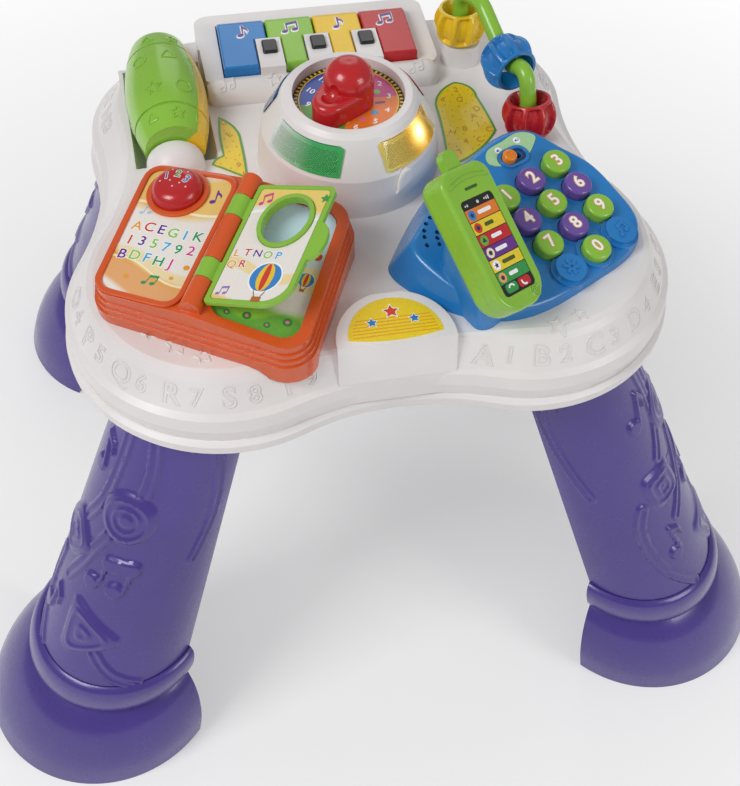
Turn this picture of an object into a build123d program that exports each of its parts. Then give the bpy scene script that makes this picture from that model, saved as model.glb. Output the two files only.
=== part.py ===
"""Baby activity table: a lobed tray on four flared legs, with a light-up clock, an open book,
a phone, a spinning roller, four piano keys and a bead wire.

Millimetres, +Z up, +X to the right, +Y to the back.
The origin lies on the floor under the middle of the four feet.
"""
from build123d import *
from math import atan2, cos, hypot, radians, sin, sqrt
import os

os.makedirs("parts", exist_ok=True)

# General clearances and walls
WALL = 2.5               # moulded walls
FIT = 0.3                # gap between fixed pieces that drop into each other
RUN = 0.35               # gap round sliding caps and keys
PIN_RUN = 0.06           # radial gap of a pin in its bore
PAST = 1.0               # cutting shapes run this far past the face they cut

# Tray, seen from above: two front lobes, two rear lobes, joined by gentle waists
FRONT_LOBE = (82.0, -84.0)
REAR_LOBE = (74.0, 60.0)
RIM_FRONT_R = 87.5       # lobe radii at the rim
RIM_REAR_R = 75.0
RIM_MID_Y = -156.0       # middle of the front edge at the rim
RIM_WAIST_X = 145.5      # narrowest half width at the rim
SIDE_SLOPE = 1.25        # the sides and the rear lean in this much more than the front
MID_SLOPE = 0.45         # the middle of the front leans in this much less

# Tray heights
RIM_BOTTOM = 262.0
SEAM_Z = 270.5           # the two shells meet here
BAND_Z = 289.5           # foot of the sloping letter band
DECK_Z = 308.0           # play surface
SKIRT_INSET = 3.4        # the upper shell's foot is this far in from the rim
RIM_LEVELS = ((RIM_BOTTOM, 2.0), (RIM_BOTTOM + 1.5, 0.0), (SEAM_Z - 2.0, 0.0), (SEAM_Z, 2.4))
SKIRT_LEVELS = ((SEAM_Z, SKIRT_INSET), (279.0, 1.8), (287.0, 2.8), (BAND_Z, 6.0),
                (DECK_Z - 4.5, 14.5), (DECK_Z - 1.5, 17.0), (DECK_Z, 20.5))
CAVITY_LEVELS = ((SEAM_Z, SKIRT_INSET), (287.0, SKIRT_INSET), (DECK_Z - 5.5, 14.5), (DECK_Z - WALL, 17.5))
FLOOR = 3.0              # floor of the lower shell
TONGUE = 5.0             # upstand of the lower shell inside the upper one

# Legs: half-shell columns that lean out from the tray to bell-shaped feet
FOOT_R = 77.0
COLLAR_LOW = 58.0
COLLAR_TOP = 86.0
ANKLE_R = 49.5
LEG_TOP_R = 36.5         # at the underside of the tray
LEG_TOP_Z = 284.0
LEG_WALL = 3.0
LEG_CHORD = 10.0         # the open back lies this far behind the centre line
LEG_LIP = 4.0            # the hollow stops this far short of the open back
LEG_RIB_LIP = 3.0
LEG_RIBS = (COLLAR_TOP - 3.0, 172.0)
FRONT_LEG = ((190.0, -155.0), (169.0, -157.0), (102.0, -110.0))    # foot, ankle, tray underside
REAR_LEG = ((157.0, 155.0), (141.0, 146.0), (94.0, 86.0))
LEG_FACING = 41.0        # the rounded side faces this far from the X axis
LEG_FIT = 0.4
CATCH = (14.0, 6.0, 2.0)  # width, height and reach of the snap catch at the top of a leg
CATCH_Z = LEG_TOP_Z - 8.0
CATCH_ROOT = 3.0         # its root reaches this far into the leg's wall

# Clock
CLOCK = (0.0, -6.0)
DOME_FOOT = ((52.0, DECK_Z), (51.0, 318.0))
CONE_LOW = (49.0, 331.0)             # the lenses lie in this cone: radius, height
CONE_HIGH = (37.5, 350.5)
RING_R = 35.0
RING_TOP = 353.0
DIAL_R = 31.0
DIAL_Z = 347.0
DIAL_T = 2.0
LENS_SPAN = 70.0                     # degrees round the dome
LENS_HEIGHTS = (333.0, 347.8)
LENS_CORNER = 4.5
LENS_OUT = 0.8                       # the lenses stand proud of the dome
LENS_T = 2.2
LENS_GAP = 0.25
LENSES = (("lens_green", 225.0), ("lens_yellow", 315.0), ("lens_red", 45.0), ("lens_blue", 135.0))
KNOB_R = 13.8
KNOB_TALL = 26.0         # over the dial
KNOB_TOP = DIAL_Z + KNOB_TALL
KNOB_ARM = 18.0
KNOB_LOBE_R = 9.5
KNOB_LOBE_TOP = KNOB_TOP - KNOB_TALL / 2
KNOB_CROWN = 10.0        # height of its domed top
KNOB_DIMPLE_R = 5.5
KNOB_DIMPLE = 2.5        # depth of the dimple in the lobe
KNOB_EDGE = 3.0
KNOB_TURN = 225.0        # the lobe points this way on the dial, from +X
SPINDLE_R = 5.0
SPINDLE_SNAP = (1.2, 2.0)   # reach and height of the lip that holds it
RING_EDGE = 1.2
LENS_CUT = 8.0           # the window cuts reach this far past the wall

# Book
BOOK_PIN = (-80.0, -94.5, 337.0)     # middle of the spine
BOOK_TURN = -28.3                    # direction across the pages
BOOK_TILT = 5.2                      # the spine rises to the back
PAGE_SLOPE = 5.0                     # the pages fall away from the spine
BOOK_CORNERS = ((-60.0, 44.0), (54.0, 48.0), (60.0, -49.0), (-55.0, -44.0))
BOOK_CORNER_R = 13.0
BOOK_STEPS = (-10.0, -14.0, -18.0)   # grooves that look like page edges
BOOK_STEP_OUT = 0.9
BOOK_HIGH = 6.0                      # the block is cut down to the pages from here
BOOK_CAVITY = -10.5
BOOK_DEEP = -46.0
LEFT_PAGE = ((-54.0, 38.0), (-7.0, 40.0), (-7.0, -41.0), (-50.0, -38.0))
RIGHT_PAGE = ((7.0, 40.0), (49.0, 42.0), (54.0, -43.0), (7.0, -41.0))
PAGE_CORNER_R = 9.0
LEFT_SINK = 1.0
RIGHT_SINK = 3.0
SPINE_R = 5.5
SPINE_LIFT = 1.6
SPINE_PIN_R = 1.5
KNUCKLES = ((-44.0, -26.4), (-13.6, 15.0), (29.4, 44.0))
PAGE_KNUCKLES = ((-26.0, -14.0), (15.4, 29.0))
PAGE_REST = 17.0                     # the page stands this far above level
PAGE_W = 45.0
PAGE_H = 79.0
PAGE_T = 2.4
PAGE_START = 6.2
PAGE_HOLE = (31.0, 15.0, 12.5, 15.5)  # centre and half sizes
PAGE_RING = (2.4, 1.1)                # width and height of the ring round the hole
PAGE_BORDER = 2.6
PAGE_CORNERS = (15.0, 5.0, 2.0)       # radii: lower right, upper right, at the spine
PAGE_SINK = 0.5
PAGE_TAB = (51.0, 3.0, 6.5, 12.0)     # centre and half sizes
BUTTON_AT = (-36.0, 27.0)
BUTTON_R = 13.5
BUTTON_HIGH = 9.5
BUTTON_TRAVEL = 2.5
BUTTON_ROUND = 7.0
BUTTON_SEAT = -5.5                   # underside of the tray over the button's flange
BUTTON_FLANGE = (15.5, 1.9)
BUTTON_SHAFT = 20.0                  # depth of the room under its flange
BUTTON_SPRING = (4.0, 30.0)          # radius and length of the rubber post under it
COLLAR_RING = (15.8, 1.0)            # raised ring round the button: radius, height

# Phone
PHONE = (98.5, -81.8, 329.0)         # top of the middle key
PHONE_TURN = 33.0                    # direction of the key rows
PHONE_TILT = 12.0
KEY_R = 7.9
KEY_DEEP = 12.0
KEY_EDGE = 1.8
KEY_LUG = (9.6, 4.0, 1.6)            # reach, width and thickness of the lugs that hold a key down
KEY_PITCH = (20.5, 17.5)
KEY_ROW_SHIFT = -1.2
KEY_STAND = 6.0                      # the key tops stand this far above the base
KEY_TRAVEL = 2.5
PHONE_OUTLINE = ((-76, 30), (-51, 39), (-26, 46.5), (0, 51), (16, 50.5), (29, 44), (35, 28), (41, 10),
                 (40, -15), (35, -34), (20, -44.4), (-10, -45), (-40, -42), (-62, -34), (-76, -18), (-82, 6))
PHONE_HUB = (-20.0, 3.0)             # the sides flare out from here
PHONE_FLARE = 0.4
PHONE_DROP = 40.0
PHONE_EDGE = 3.5
BUMPS = ((-22.9, -35.0), (18.1, -35.0))   # fixed buttons beside key 0
BUMP_R = 8.5
BUMP_TOP = -2.0
PLINTH_R = 10.5
PLINTH_TOP = -4.5
PLINTH_DROP = 8.0                    # the plinths reach this far down into the sloping side
SHEET_T = 1.5
DOME_H = 1.5
KEYPAD_POSTS = (10.25, (8.75, -8.75, -26.25))
KEYPAD_POST_R = 2.2
DOME_R = 5.0
DOME_TAPER = 25.0
TRAY_CUT = 302.0                     # the book and the phone reach down over the deck's edge to here
SPEAKER_HOLES = ((-59.7, 33.8), (-64.2, 32.2), (-68.2, 29.5), (-70.8, 26.5), (-73.4, 21.9),
                 (-63.2, 24.7), (-65.7, 22.0), (-67.5, 18.5))
SPEAKER_HOLE_R = 1.3
KEY_ROWS = (("1", "2", "3"), ("4", "5", "6"), ("7", "8", "9"), ("", "0", ""))

# Handset
HANDSET = (52.8, -129.5, 352.0)      # middle of its screen
HANDSET_TURN = 114.0                 # direction of its upper end
HANDSET_PITCH = 35.0
HANDSET_ROLL = 15.0
HANDSET_W = 35.0
HANDSET_LOW = -35.0
HANDSET_HIGH = 42.0
HANDSET_T = 20.0
SCREEN_W = 23.0
SCREEN_LOW = -26.0
SCREEN_HIGH = 25.0
SCREEN_DEEP = 1.5
HANDSET_SEAM = -8.0
HANDSET_FOOT_R = 14.0                # corner radii
HANDSET_HEAD_R = 8.0
HANDSET_BACK_R = 7.0
HANDSET_SHELL = 2.0
ANTENNA = (-1.0, 5.0, 52.0)          # middle, radius and tip
CRADLE = (12.5, -31.0, 20.0)         # half width, low end, high end
CRADLE_CORNER = 9.0
CRADLE_DEEP = 80.0                   # far enough down to end in the tray
HANDSET_EDGE = 2.0
SCREEN_CORNER = 2.5
ANTENNA_SPAN = (-3.0, 5.0)           # its underside and top, from the seam

# Volume switch
SWITCH_FROM = (3.5, 36.2)
SWITCH_TO = (10.5, 35.2)
SWITCH_R = 4.0
SWITCH_HIGH = 5.0
SWITCH_STEM_R = 1.6
SWITCH_RING_R = 6.2
SWITCH_RING_H = 1.2
SWITCH_EDGE = 1.5
SWITCH_FOOT = (5.0, 6.0, 1.5)        # length, width and thickness of the foot under the slot
SWITCH_LABEL = ((-7.0, 43.5), (-4.0, 46.5), (9.1, 47.2), (24.2, 45.0), (28.2, 39.0), (23.7, 35.5),
                (13.6, 31.9))
LABEL_T = 0.4

# Roller
ROLLER = (-98.5, 46.0, 317.0)
ROLLER_TURN = 2.0                    # its axle points this far off +Y
ROLLER_LEN = 86.0
ROLLER_R = 23.5
ROLLER_END_R = 17.0
ROLLER_WALL = 2.2
ROLLER_GAP = 1.6
AXLE_R = 3.0
AXLE_HALF = 53.0
YELLOW_SPAN = 75.0
YELLOW_START = 140.0
ROLLER_CAPS = ((-98.0, -1.0, 309.0, 16.5), (-97.0, 97.0, 308.0, 14.0))   # centre and radius
ROLLER_GROOVES = (-27.0, 27.0)
ROLLER_GROOVE = (20.2, 1.6)           # radius at its bottom, width

# Nameplate boss at the front middle: side profile as y, z
PLATE_HALF = 31.0
PLATE_PROFILE = ((-140.0, 272.0), (-156.5, 272.0), (-156.5, 289.0), (-151.5, 312.0), (-119.0, 313.5),
                 (-119.0, 300.0), (-140.0, 300.0))
PLATE_BACK = -118.0      # top of its rounded back edge
PLATE_SIDE = -148.0      # the rounded back edge starts here
PLATE_TRIM = 60.0        # height of the shape that trims it
PLATE_ARC = (24.5, 4.5, 28.5, 1.5)   # its label: half width, then heights of the ends, top and underside

# Piano
PIANO_X = -4.0
KEY_W = 28.5
PIANO_PITCH = 29.5
PIANO_FRONT = 62.0
PIANO_BACK = 112.0
PIANO_TOP = 324.0
PIANO_BLOCK = (72.0, 58.0, 124.0, 317.0)   # half width, front, back, top
PIANO_BLOCK_LOW = 290.0
PIANO_BLOCK_R = 9.0
PIANO_KEY_LOW = 306.0
PIANO_GAP = 0.6                            # round the keys
PIANO_KEY_WALL = 2.2
PIANO_BARREL_R = 4.0
PIANO_BAR = (55.7, 310.5)                  # y and z of the bar in front of the keys
PIANO_BAR_R = 9.0
PIANO_PIN = (66.0, 303.5)                  # y and z of the key axle
PIANO_PIN_R = 1.5
PIANO_DIP = 4.0                            # degrees
PIANO_COLOURS = ("blue", "green", "yellow", "red")
BLACK_FRAME = (15.0, 86.0, 312.0, 325.0)   # width, back end, underside, top
BLACK_PAD = (9.0, 12.0, 2.0)               # width, length, height
BLACK_PAD_Y = 76.5

PIANO_WELL_LOW = 296.0
PIANO_AXLE_HALF = 2 * PIANO_PITCH + 9.0     # the axle ends in the block beside the outer keys
PIANO_DOME_Y = 100.0
PIANO_DOME = (4.5, 20.0)             # radius and taper of the rubber dome under a key
PIANO_ROUND = 10.0                   # roundness of a key's back edge
PIANO_EDGE = 1.2
BLACK_CORNER = 1.5
BLACK_EDGE = 1.0
BLACK_CUT = 20.0                     # height of the notch for a black pad

# Inside the dome and under the phone
BOARD_Z = 293.0
BOARD_T = 1.6
BOARD_SIZE = (96.0, 68.0)
BOARD_CORNER = 4.0
BOARD_POSTS = ((42.0, 22.0), (-42.0, 22.0), (42.0, -34.0), (-42.0, -34.0))
BOARD_POST_R = 3.0
LED_ARM = 40.0
LED_TOP = 322.0
LED_W = 5.0
SPEAKER = (29.0, -96.0)
SPEAKER_R = 20.0
SPEAKER_MAGNET = (9.0, -9.0, -16.0)  # radius, top and underside of its magnet
SPEAKER_CONE = (7.0, -6.0, -5.0)     # radius of the cap, its foot and its top
SPEAKER_RIM = (3.0, 2.0)             # width and height
KEYPAD_MIDDLE = (-1.5, -4.5)
KEYPAD_WINDOW = (64.0, 75.0)
KEYPAD_CORNER = 5.0
KEYPAD_SHEET = (-1.5, -8.5)          # middle of the keypad sheet, in the plane of the key tops

# Bead wire, drawn in its own upright plane: along, up
WIRE_REAR = (84.0, 71.0)
WIRE_FRONT = (108.0, -9.0)
WIRE_R = 4.75
WIRE_LOW = 298.0
WIRE_BOSS_R = 12.5
WIRE_BOSS_TAPER = 3.0
WIRE_RISE = (13.5, 0.0)                    # height of each boss above the play surface
WIRE_POINTS = ((-5.5, 353.0), (17.0, 359.0), (52.0, 338.5), (70.0, 349.0), (78.0, 322.0))
WIRE_BENDS = (12.0, 14.0, 18.0, 8.0, 60.0)
BEAD_R = 16.0
BEAD_FACE_R = 12.5
BEAD_HALF = 10.0                           # half its length on the wire
BEAD_BORE = (6.8, 11.0)                    # radius in the middle and at the ends
BEAD_FLUTES = 8
BEAD_FLUTE_R = 3.2
BEAD_FLUTE_OUT = 0.6                       # the flutes' centres lie this far outside the bead
BEADS = (("bead_yellow", -3.3, 332.0, 96.0), ("bead_blue", 51.2, 340.2, 0.0),
         ("bead_red", 78.6, 322.0, 105.0))   # name, middle along and up, direction of its bore

# Labels on the play surface
DECK_LABELS = (((54, -26), (57.5, -1), (59, 29), (65, 41), (75, 48), (84, 42), (86, 33), (88.5, 17), (90, 1),
                (70, -19)),
               ((-59, -18), (-58.5, 1), (-59, 20), (-64, 32), (-70, 38), (-71.3, 22), (-71, 4), (-76, 1),
                (-78, -3), (-70, -9)))   # corners, each followed by a point of the side after it

# Battery bay and fasteners
BAY = (64.0, 60.0, 24.0)
BAY_AT = (0.0, 10.0)
CELL_R = 7.1
CELL_LEN = 50.0
CELLS = 3
CELL_GAP = 1.0
CELL_TIP = (2.6, 1.5)                # radius and height of the contact
DOOR_SCREW = (0.0, -15.5)
DOOR_SCREW_LEN = 14.0
DOOR_POST_R = 4.0
DOOR_T = 2.2
DOOR_LIP = 2.0           # the door laps the bay's rim by this
SCREW_SPOTS = ((0.0, -128.0, 311.5), (118.0, -44.0, 306.5), (-118.0, -44.0, 306.5), (64.0, 24.0, 306.5),
               (-64.0, 24.0, 306.5), (40.0, 117.0, 314.0), (-40.0, 117.0, 314.0))   # x, y and top of its boss
SCREW_R = 1.5
SCREW_LEN = 22.0
SCREW_HEAD = (3.0, 2.2)              # radius and height
SCREW_BOSS_R = 4.5
BOSS_R = 6.0             # screw bosses of the lower shell
BOSS_H = 12.0
BOSS_GAP = 0.1           # between the bosses of the two shells
SCREW_SINK = 0.8         # the heads lie this deep
DOOR_SCREW_SINK = 0.1
HEAD_ROOM = 0.2          # round a screw where it passes freely


def along(degrees_from_x):
    """Unit direction in the XY plane."""
    return cos(radians(degrees_from_x)), sin(radians(degrees_from_x))


def toward(start, end, distance):
    """Point at a distance from start on the line to end."""
    span = hypot(end[0] - start[0], end[1] - start[1])
    return (start[0] + (end[0] - start[0]) * distance / span,
            start[1] + (end[1] - start[1]) * distance / span)


def outer_mid(centre, radius, first, last):
    """Point of a circle half way round from first to last, counterclockwise."""
    a = atan2(first[1] - centre[1], first[0] - centre[0])
    b = atan2(last[1] - centre[1], last[0] - centre[0])
    while b < a:
        b += radians(360)
    return centre[0] + radius * cos((a + b) / 2), centre[1] + radius * sin((a + b) / 2)


def finish(node, label):
    """Label a finished piece and write it."""
    node.part.label = label
    export_step(node.part, "parts/" + label + ".step")


def waist_radius(front_r, rear_r, waist_x):
    """Radius of the hollow side arc that touches both lobes and reaches in to waist_x."""
    front_gap = waist_x - FRONT_LOBE[0]
    rear_gap = waist_x - REAR_LOBE[0]
    apart = REAR_LOBE[1] - FRONT_LOBE[1]
    low, high = 1.0, 2000.0
    for _ in range(60):
        middle = (low + high) / 2
        reach = sqrt((front_r - front_gap) * (front_r + front_gap + 2 * middle))
        reach += sqrt((rear_r - rear_gap) * (rear_r + rear_gap + 2 * middle))
        if reach < apart:
            low = middle
        else:
            high = middle
    return middle


def tray_outline(inset, wall=0.0):
    """Closed outline of the tray, the inset measured in from the rim, a wall thickness inside."""
    front_r = RIM_FRONT_R - inset - wall
    rear_r = RIM_REAR_R - SIDE_SLOPE * inset - wall
    mid_y = RIM_MID_Y + MID_SLOPE * inset + wall
    waist_x = RIM_WAIST_X - SIDE_SLOPE * inset - wall
    depth = mid_y - FRONT_LOBE[1]
    front_hollow = (FRONT_LOBE[0] ** 2 + depth ** 2 - front_r ** 2) / (2 * (front_r + depth))
    front_centre = (0.0, mid_y - front_hollow)
    side_hollow = waist_radius(front_r, rear_r, waist_x)
    gap = waist_x - FRONT_LOBE[0]
    side_y = FRONT_LOBE[1] + sqrt((front_r - gap) * (front_r + gap + 2 * side_hollow))
    side_centre = (waist_x + side_hollow, side_y)
    a = toward(FRONT_LOBE, front_centre, front_r)
    b = toward(FRONT_LOBE, side_centre, front_r)
    c = toward(REAR_LOBE, side_centre, rear_r)
    d = (REAR_LOBE[0], REAR_LOBE[1] + rear_r)
    front_mid = outer_mid(FRONT_LOBE, front_r, a, b)
    rear_mid = outer_mid(REAR_LOBE, rear_r, c, d)

    def left(point):
        return -point[0], point[1]

    ThreePointArc(left(a), (0, mid_y), a)
    ThreePointArc(a, front_mid, b)
    ThreePointArc(b, (waist_x, side_y), c)
    ThreePointArc(c, rear_mid, d)
    Line(d, left(d))
    ThreePointArc(left(d), left(rear_mid), left(c))
    ThreePointArc(left(c), (-waist_x, side_y), left(b))
    ThreePointArc(left(b), left(front_mid), left(a))


def tray_sections(levels, wall=0.0):
    """Tray outlines at several heights, as faces."""
    faces = []
    for height, inset in levels:
        with BuildSketch(Plane.XY.offset(height)) as section:
            with BuildLine():
                tray_outline(inset, wall)
            make_face()
        faces.append(section.sketch)
    return faces


def spot(plane, x, y, z=0.0):
    """World point of a point on a tilted plane."""
    return plane.from_local_coords((x, y, z))


def tilted_plane(origin, turn, tilt):
    """Plane turned about Z whose y axis then rises by tilt degrees."""
    x = along(turn)
    y = along(turn + 90.0)
    up = (-sin(radians(tilt)) * y[0], -sin(radians(tilt)) * y[1], cos(radians(tilt)))
    return Plane(origin=origin, x_dir=(x[0], x[1], 0), z_dir=up)


def swung(plane, about_x=0.0, about_y=0.0, about_z=0.0):
    """Plane turned about its own axes."""
    return Plane(plane.location * Rotation(about_x, about_y, about_z))


def closed_curve(plane, points):
    """Face inside a smooth closed curve."""
    with BuildSketch(plane) as section:
        with BuildLine():
            Spline(*points, periodic=True)
        make_face()
    return section.sketch


def arc_face(plane, points):
    """Face inside arcs: corners, each followed by a point of the side after it."""
    with BuildSketch(plane) as section:
        with BuildLine():
            for number in range(0, len(points), 2):
                ThreePointArc(points[number], points[number + 1], points[(number + 2) % len(points)])
        make_face()
    return section.sketch


def rounded(plane, points, radius, grow=0.0):
    """Face of a polygon with rounded corners, made larger by grow."""
    with BuildSketch(plane) as section:
        with BuildLine():
            Polyline(*points, close=True)
        make_face()
        fillet(section.vertices(), radius)
        if grow:
            offset(amount=grow)
    return section.sketch


def slab(plane, width, height, radius):
    """Face of a rectangle with rounded corners."""
    with BuildSketch(plane) as section:
        RectangleRounded(width, height, radius)
    return section.sketch


book_plane = tilted_plane(BOOK_PIN, BOOK_TURN, BOOK_TILT)
left_page_plane = swung(book_plane, about_y=-PAGE_SLOPE)
right_page_plane = swung(book_plane, about_y=PAGE_SLOPE)
spine_plane = book_plane.offset(SPINE_LIFT)
page_plane = swung(spine_plane, about_y=-PAGE_REST)
phone_plane = tilted_plane(PHONE, PHONE_TURN, PHONE_TILT)
phone_top = phone_plane.offset(-KEY_STAND)
handset_plane = swung(tilted_plane(HANDSET, HANDSET_TURN - 90.0, HANDSET_PITCH), about_y=HANDSET_ROLL)
roller_plane = Plane(origin=ROLLER, x_dir=(*along(ROLLER_TURN), 0),
                     z_dir=(-along(ROLLER_TURN)[1], along(ROLLER_TURN)[0], 0))
wire_dir = toward((0, 0), (WIRE_FRONT[0] - WIRE_REAR[0], WIRE_FRONT[1] - WIRE_REAR[1]), 1.0)
wire_span = hypot(WIRE_FRONT[0] - WIRE_REAR[0], WIRE_FRONT[1] - WIRE_REAR[1])
wire_plane = Plane(origin=(*WIRE_REAR, 0), x_dir=(*wire_dir, 0), z_dir=(wire_dir[1], -wire_dir[0], 0))


# Legs

def leg_centre(leg, height):
    """Centre of a leg's section at a height."""
    foot, ankle, top = leg
    if height < COLLAR_TOP:
        share = height / COLLAR_TOP
        return tuple(foot[i] + (ankle[i] - foot[i]) * share for i in (0, 1))
    share = (height - COLLAR_TOP) / (RIM_BOTTOM - COLLAR_TOP)
    return tuple(ankle[i] + (top[i] - ankle[i]) * share for i in (0, 1))


def column_radius(height):
    """Outer radius of the straight column."""
    share = (height - COLLAR_TOP) / (RIM_BOTTOM - COLLAR_TOP)
    return ANKLE_R + (LEG_TOP_R - ANKLE_R) * share


COLLAR_STEPS = ((COLLAR_LOW, 1.8), (COLLAR_LOW + 2.0, 4.6), (COLLAR_LOW + 9.0, 6.4),
                (COLLAR_TOP - 9.0, 6.0), (COLLAR_TOP - 2.5, 4.0), (COLLAR_TOP, 0.6))
BELL_STEPS = ((0.0, 1.0), (18.0, 0.90), (34.0, 0.70), (46.0, 0.46), (54.0, 0.20), (COLLAR_LOW, 0.0))


def leg_section(leg, facing, height, radius, chord):
    """D-shaped section: a circle cut off behind its centre, the round side facing out."""
    x, y = leg_centre(leg, height)
    reach = sqrt(radius ** 2 - chord ** 2)
    with BuildSketch(Plane(origin=(x, y, height), x_dir=(*along(facing), 0), z_dir=(0, 0, 1))) as section:
        with BuildLine():
            ThreePointArc((-chord, -reach), (radius, 0), (-chord, reach))
            Line((-chord, reach), (-chord, -reach))
        make_face()
    return section.sketch


def leg_levels():
    """Heights and radii of the foot, the collar and the column, bottom first."""
    neck = ANKLE_R + COLLAR_STEPS[0][1]
    bell = [(z, neck + (FOOT_R - neck) * share) for z, share in BELL_STEPS]
    collar = [(z, ANKLE_R + out) for z, out in COLLAR_STEPS]
    column = [(z, column_radius(z)) for z in (COLLAR_TOP, LEG_TOP_Z)]
    return bell, collar, column


def make_leg(leg, facing, label):
    """One leg: a thin half shell with a sole, two inner ribs and a snap catch."""
    with BuildPart() as node:
        for run in leg_levels():
            loft([leg_section(leg, facing, z, radius, LEG_CHORD) for z, radius in run], ruled=True)
        for run in leg_levels():
            loft([leg_section(leg, facing, max(z, LEG_WALL), radius - LEG_WALL, LEG_CHORD + LEG_LIP)
                  for z, radius in run], ruled=True, mode=Mode.SUBTRACT)
        for height in LEG_RIBS:
            radius = column_radius(max(height, COLLAR_TOP))
            extrude(leg_section(leg, facing, height, radius - PAST, LEG_CHORD - LEG_RIB_LIP), amount=LEG_WALL)
        x, y = leg_centre(leg, CATCH_Z)
        with BuildSketch(Plane(origin=(x, y, CATCH_Z), x_dir=(*along(facing), 0), z_dir=(0, 0, 1))):
            with Locations((column_radius(CATCH_Z) + (CATCH[2] - CATCH_ROOT) / 2, 0)):
                Rectangle(CATCH[2] + CATCH_ROOT, CATCH[0])
        extrude(amount=CATCH[1])
    finish(node, label)


def socket(leg, facing, grow, bottom, top):
    """Sections of the leg's column, made larger by grow, at two heights."""
    return [leg_section(leg, facing, z, column_radius(z) + grow, LEG_CHORD + grow) for z in (bottom, top)]


def mirror_leg(leg):
    """The same leg on the left side."""
    return tuple((-x, y) for x, y in leg)


LEGS = (("leg_front_right", FRONT_LEG, -LEG_FACING),
        ("leg_front_left", mirror_leg(FRONT_LEG), 180.0 + LEG_FACING),
        ("leg_rear_right", REAR_LEG, LEG_FACING),
        ("leg_rear_left", mirror_leg(REAR_LEG), 180.0 - LEG_FACING))

for leg_name, leg_points, leg_turn in LEGS:
    make_leg(leg_points, leg_turn, leg_name)


# Lower shell, with the leg sockets and the battery bay

with BuildPart() as bottom_shell:
    loft(tray_sections(RIM_LEVELS), ruled=True)
    tongue_top = (SEAM_Z + TONGUE, SKIRT_INSET)
    loft(tray_sections(((SEAM_Z, SKIRT_INSET), tongue_top), WALL + FIT), ruled=True)
    loft(tray_sections(((RIM_BOTTOM + FLOOR, SKIRT_INSET), tongue_top), 2 * WALL + FIT),
         ruled=True, mode=Mode.SUBTRACT)
    for _, leg_points, leg_turn in LEGS:
        loft(socket(leg_points, leg_turn, LEG_FIT + WALL, RIM_BOTTOM + FLOOR / 2, LEG_TOP_Z + FIT + WALL),
             ruled=True)
    with BuildSketch(Plane.XY.offset(RIM_BOTTOM + FLOOR / 2)):
        with Locations(BAY_AT):
            Rectangle(BAY[0] + 2 * WALL, BAY[1] + 2 * WALL)
    extrude(amount=BAY[2] - FLOOR / 2 + WALL)
    for x, y, _ in SCREW_SPOTS:
        with BuildSketch(Plane.XY.offset(RIM_BOTTOM)):
            with Locations((x, y)):
                Circle(BOSS_R)
        extrude(amount=BOSS_H)
    for _, leg_points, leg_turn in LEGS:
        loft(socket(leg_points, leg_turn, LEG_FIT, RIM_BOTTOM - PAST, LEG_TOP_Z + FIT),
             ruled=True, mode=Mode.SUBTRACT)
        catch_z = CATCH_Z - LEG_FIT
        x, y = leg_centre(leg_points, catch_z)
        with BuildSketch(Plane(origin=(x, y, catch_z), x_dir=(*along(leg_turn), 0), z_dir=(0, 0, 1))):
            with Locations((column_radius(catch_z) + WALL / 2, 0)):
                Rectangle(4 * WALL, CATCH[0] + 2 * LEG_FIT)
        extrude(amount=CATCH[1] + 2 * LEG_FIT, mode=Mode.SUBTRACT)
    with BuildSketch(Plane.XY.offset(RIM_BOTTOM)):
        with Locations(BAY_AT):
            Rectangle(BAY[0], BAY[1])
    extrude(amount=BAY[2], mode=Mode.SUBTRACT)
    with BuildSketch(Plane.XY.offset(RIM_BOTTOM + DOOR_T)):
        with Locations(DOOR_SCREW):
            Circle(DOOR_POST_R)
    extrude(amount=BAY[2] - DOOR_T)
    with Locations(Plane(origin=(*DOOR_SCREW, RIM_BOTTOM), z_dir=(0, 0, -1))):
        Hole(SCREW_R + PIN_RUN, DOOR_SCREW_LEN + PAST)
    with BuildSketch(Plane.XY.offset(RIM_BOTTOM)):
        with Locations(BAY_AT):
            Rectangle(BAY[0] + 2 * DOOR_LIP, BAY[1] + 2 * DOOR_LIP)
    extrude(amount=DOOR_T, mode=Mode.SUBTRACT)
    for x, y, _ in SCREW_SPOTS:
        with Locations(Plane(origin=(x, y, RIM_BOTTOM), z_dir=(0, 0, -1))):
            CounterBoreHole(SCREW_R + HEAD_ROOM, SCREW_HEAD[0] + FIT, SCREW_HEAD[1] + SCREW_SINK)
finish(bottom_shell, "bottom_shell")


# Upper shell

def plate_boss(inset):
    """Body of the boss that carries the nameplate, its surface moved in by inset."""
    half = PLATE_HALF - inset
    front = min(y for y, z in PLATE_PROFILE)
    with BuildPart() as boss:
        with BuildSketch(Plane.YZ.offset(-half)):
            with BuildLine():
                Polyline(*PLATE_PROFILE, close=True)
            make_face()
            if inset:
                offset(amount=-inset, kind=Kind.INTERSECTION)
        extrude(amount=2 * half)
        with BuildSketch(Plane.XY.offset(PLATE_PROFILE[0][1])):
            with BuildLine():
                Line((-half, PLATE_SIDE), (-half, front))
                Line((-half, front), (half, front))
                Line((half, front), (half, PLATE_SIDE))
                ThreePointArc((half, PLATE_SIDE), (0, PLATE_BACK - inset), (-half, PLATE_SIDE))
            make_face()
        extrude(amount=PLATE_TRIM, mode=Mode.INTERSECT)
    return boss.part


def piano_box(grow, low, high):
    """Block round the piano keys, made larger by grow."""
    half, front, back, _ = PIANO_BLOCK
    middle = (PIANO_X, (front + back) / 2)
    with BuildSketch(Plane.XY.offset(low)) as section:
        with Locations(middle):
            RectangleRounded(2 * (half + grow), back - front + 2 * grow, PIANO_BLOCK_R + grow)
    return extrude(section.sketch, amount=high - low, mode=Mode.PRIVATE)


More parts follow.
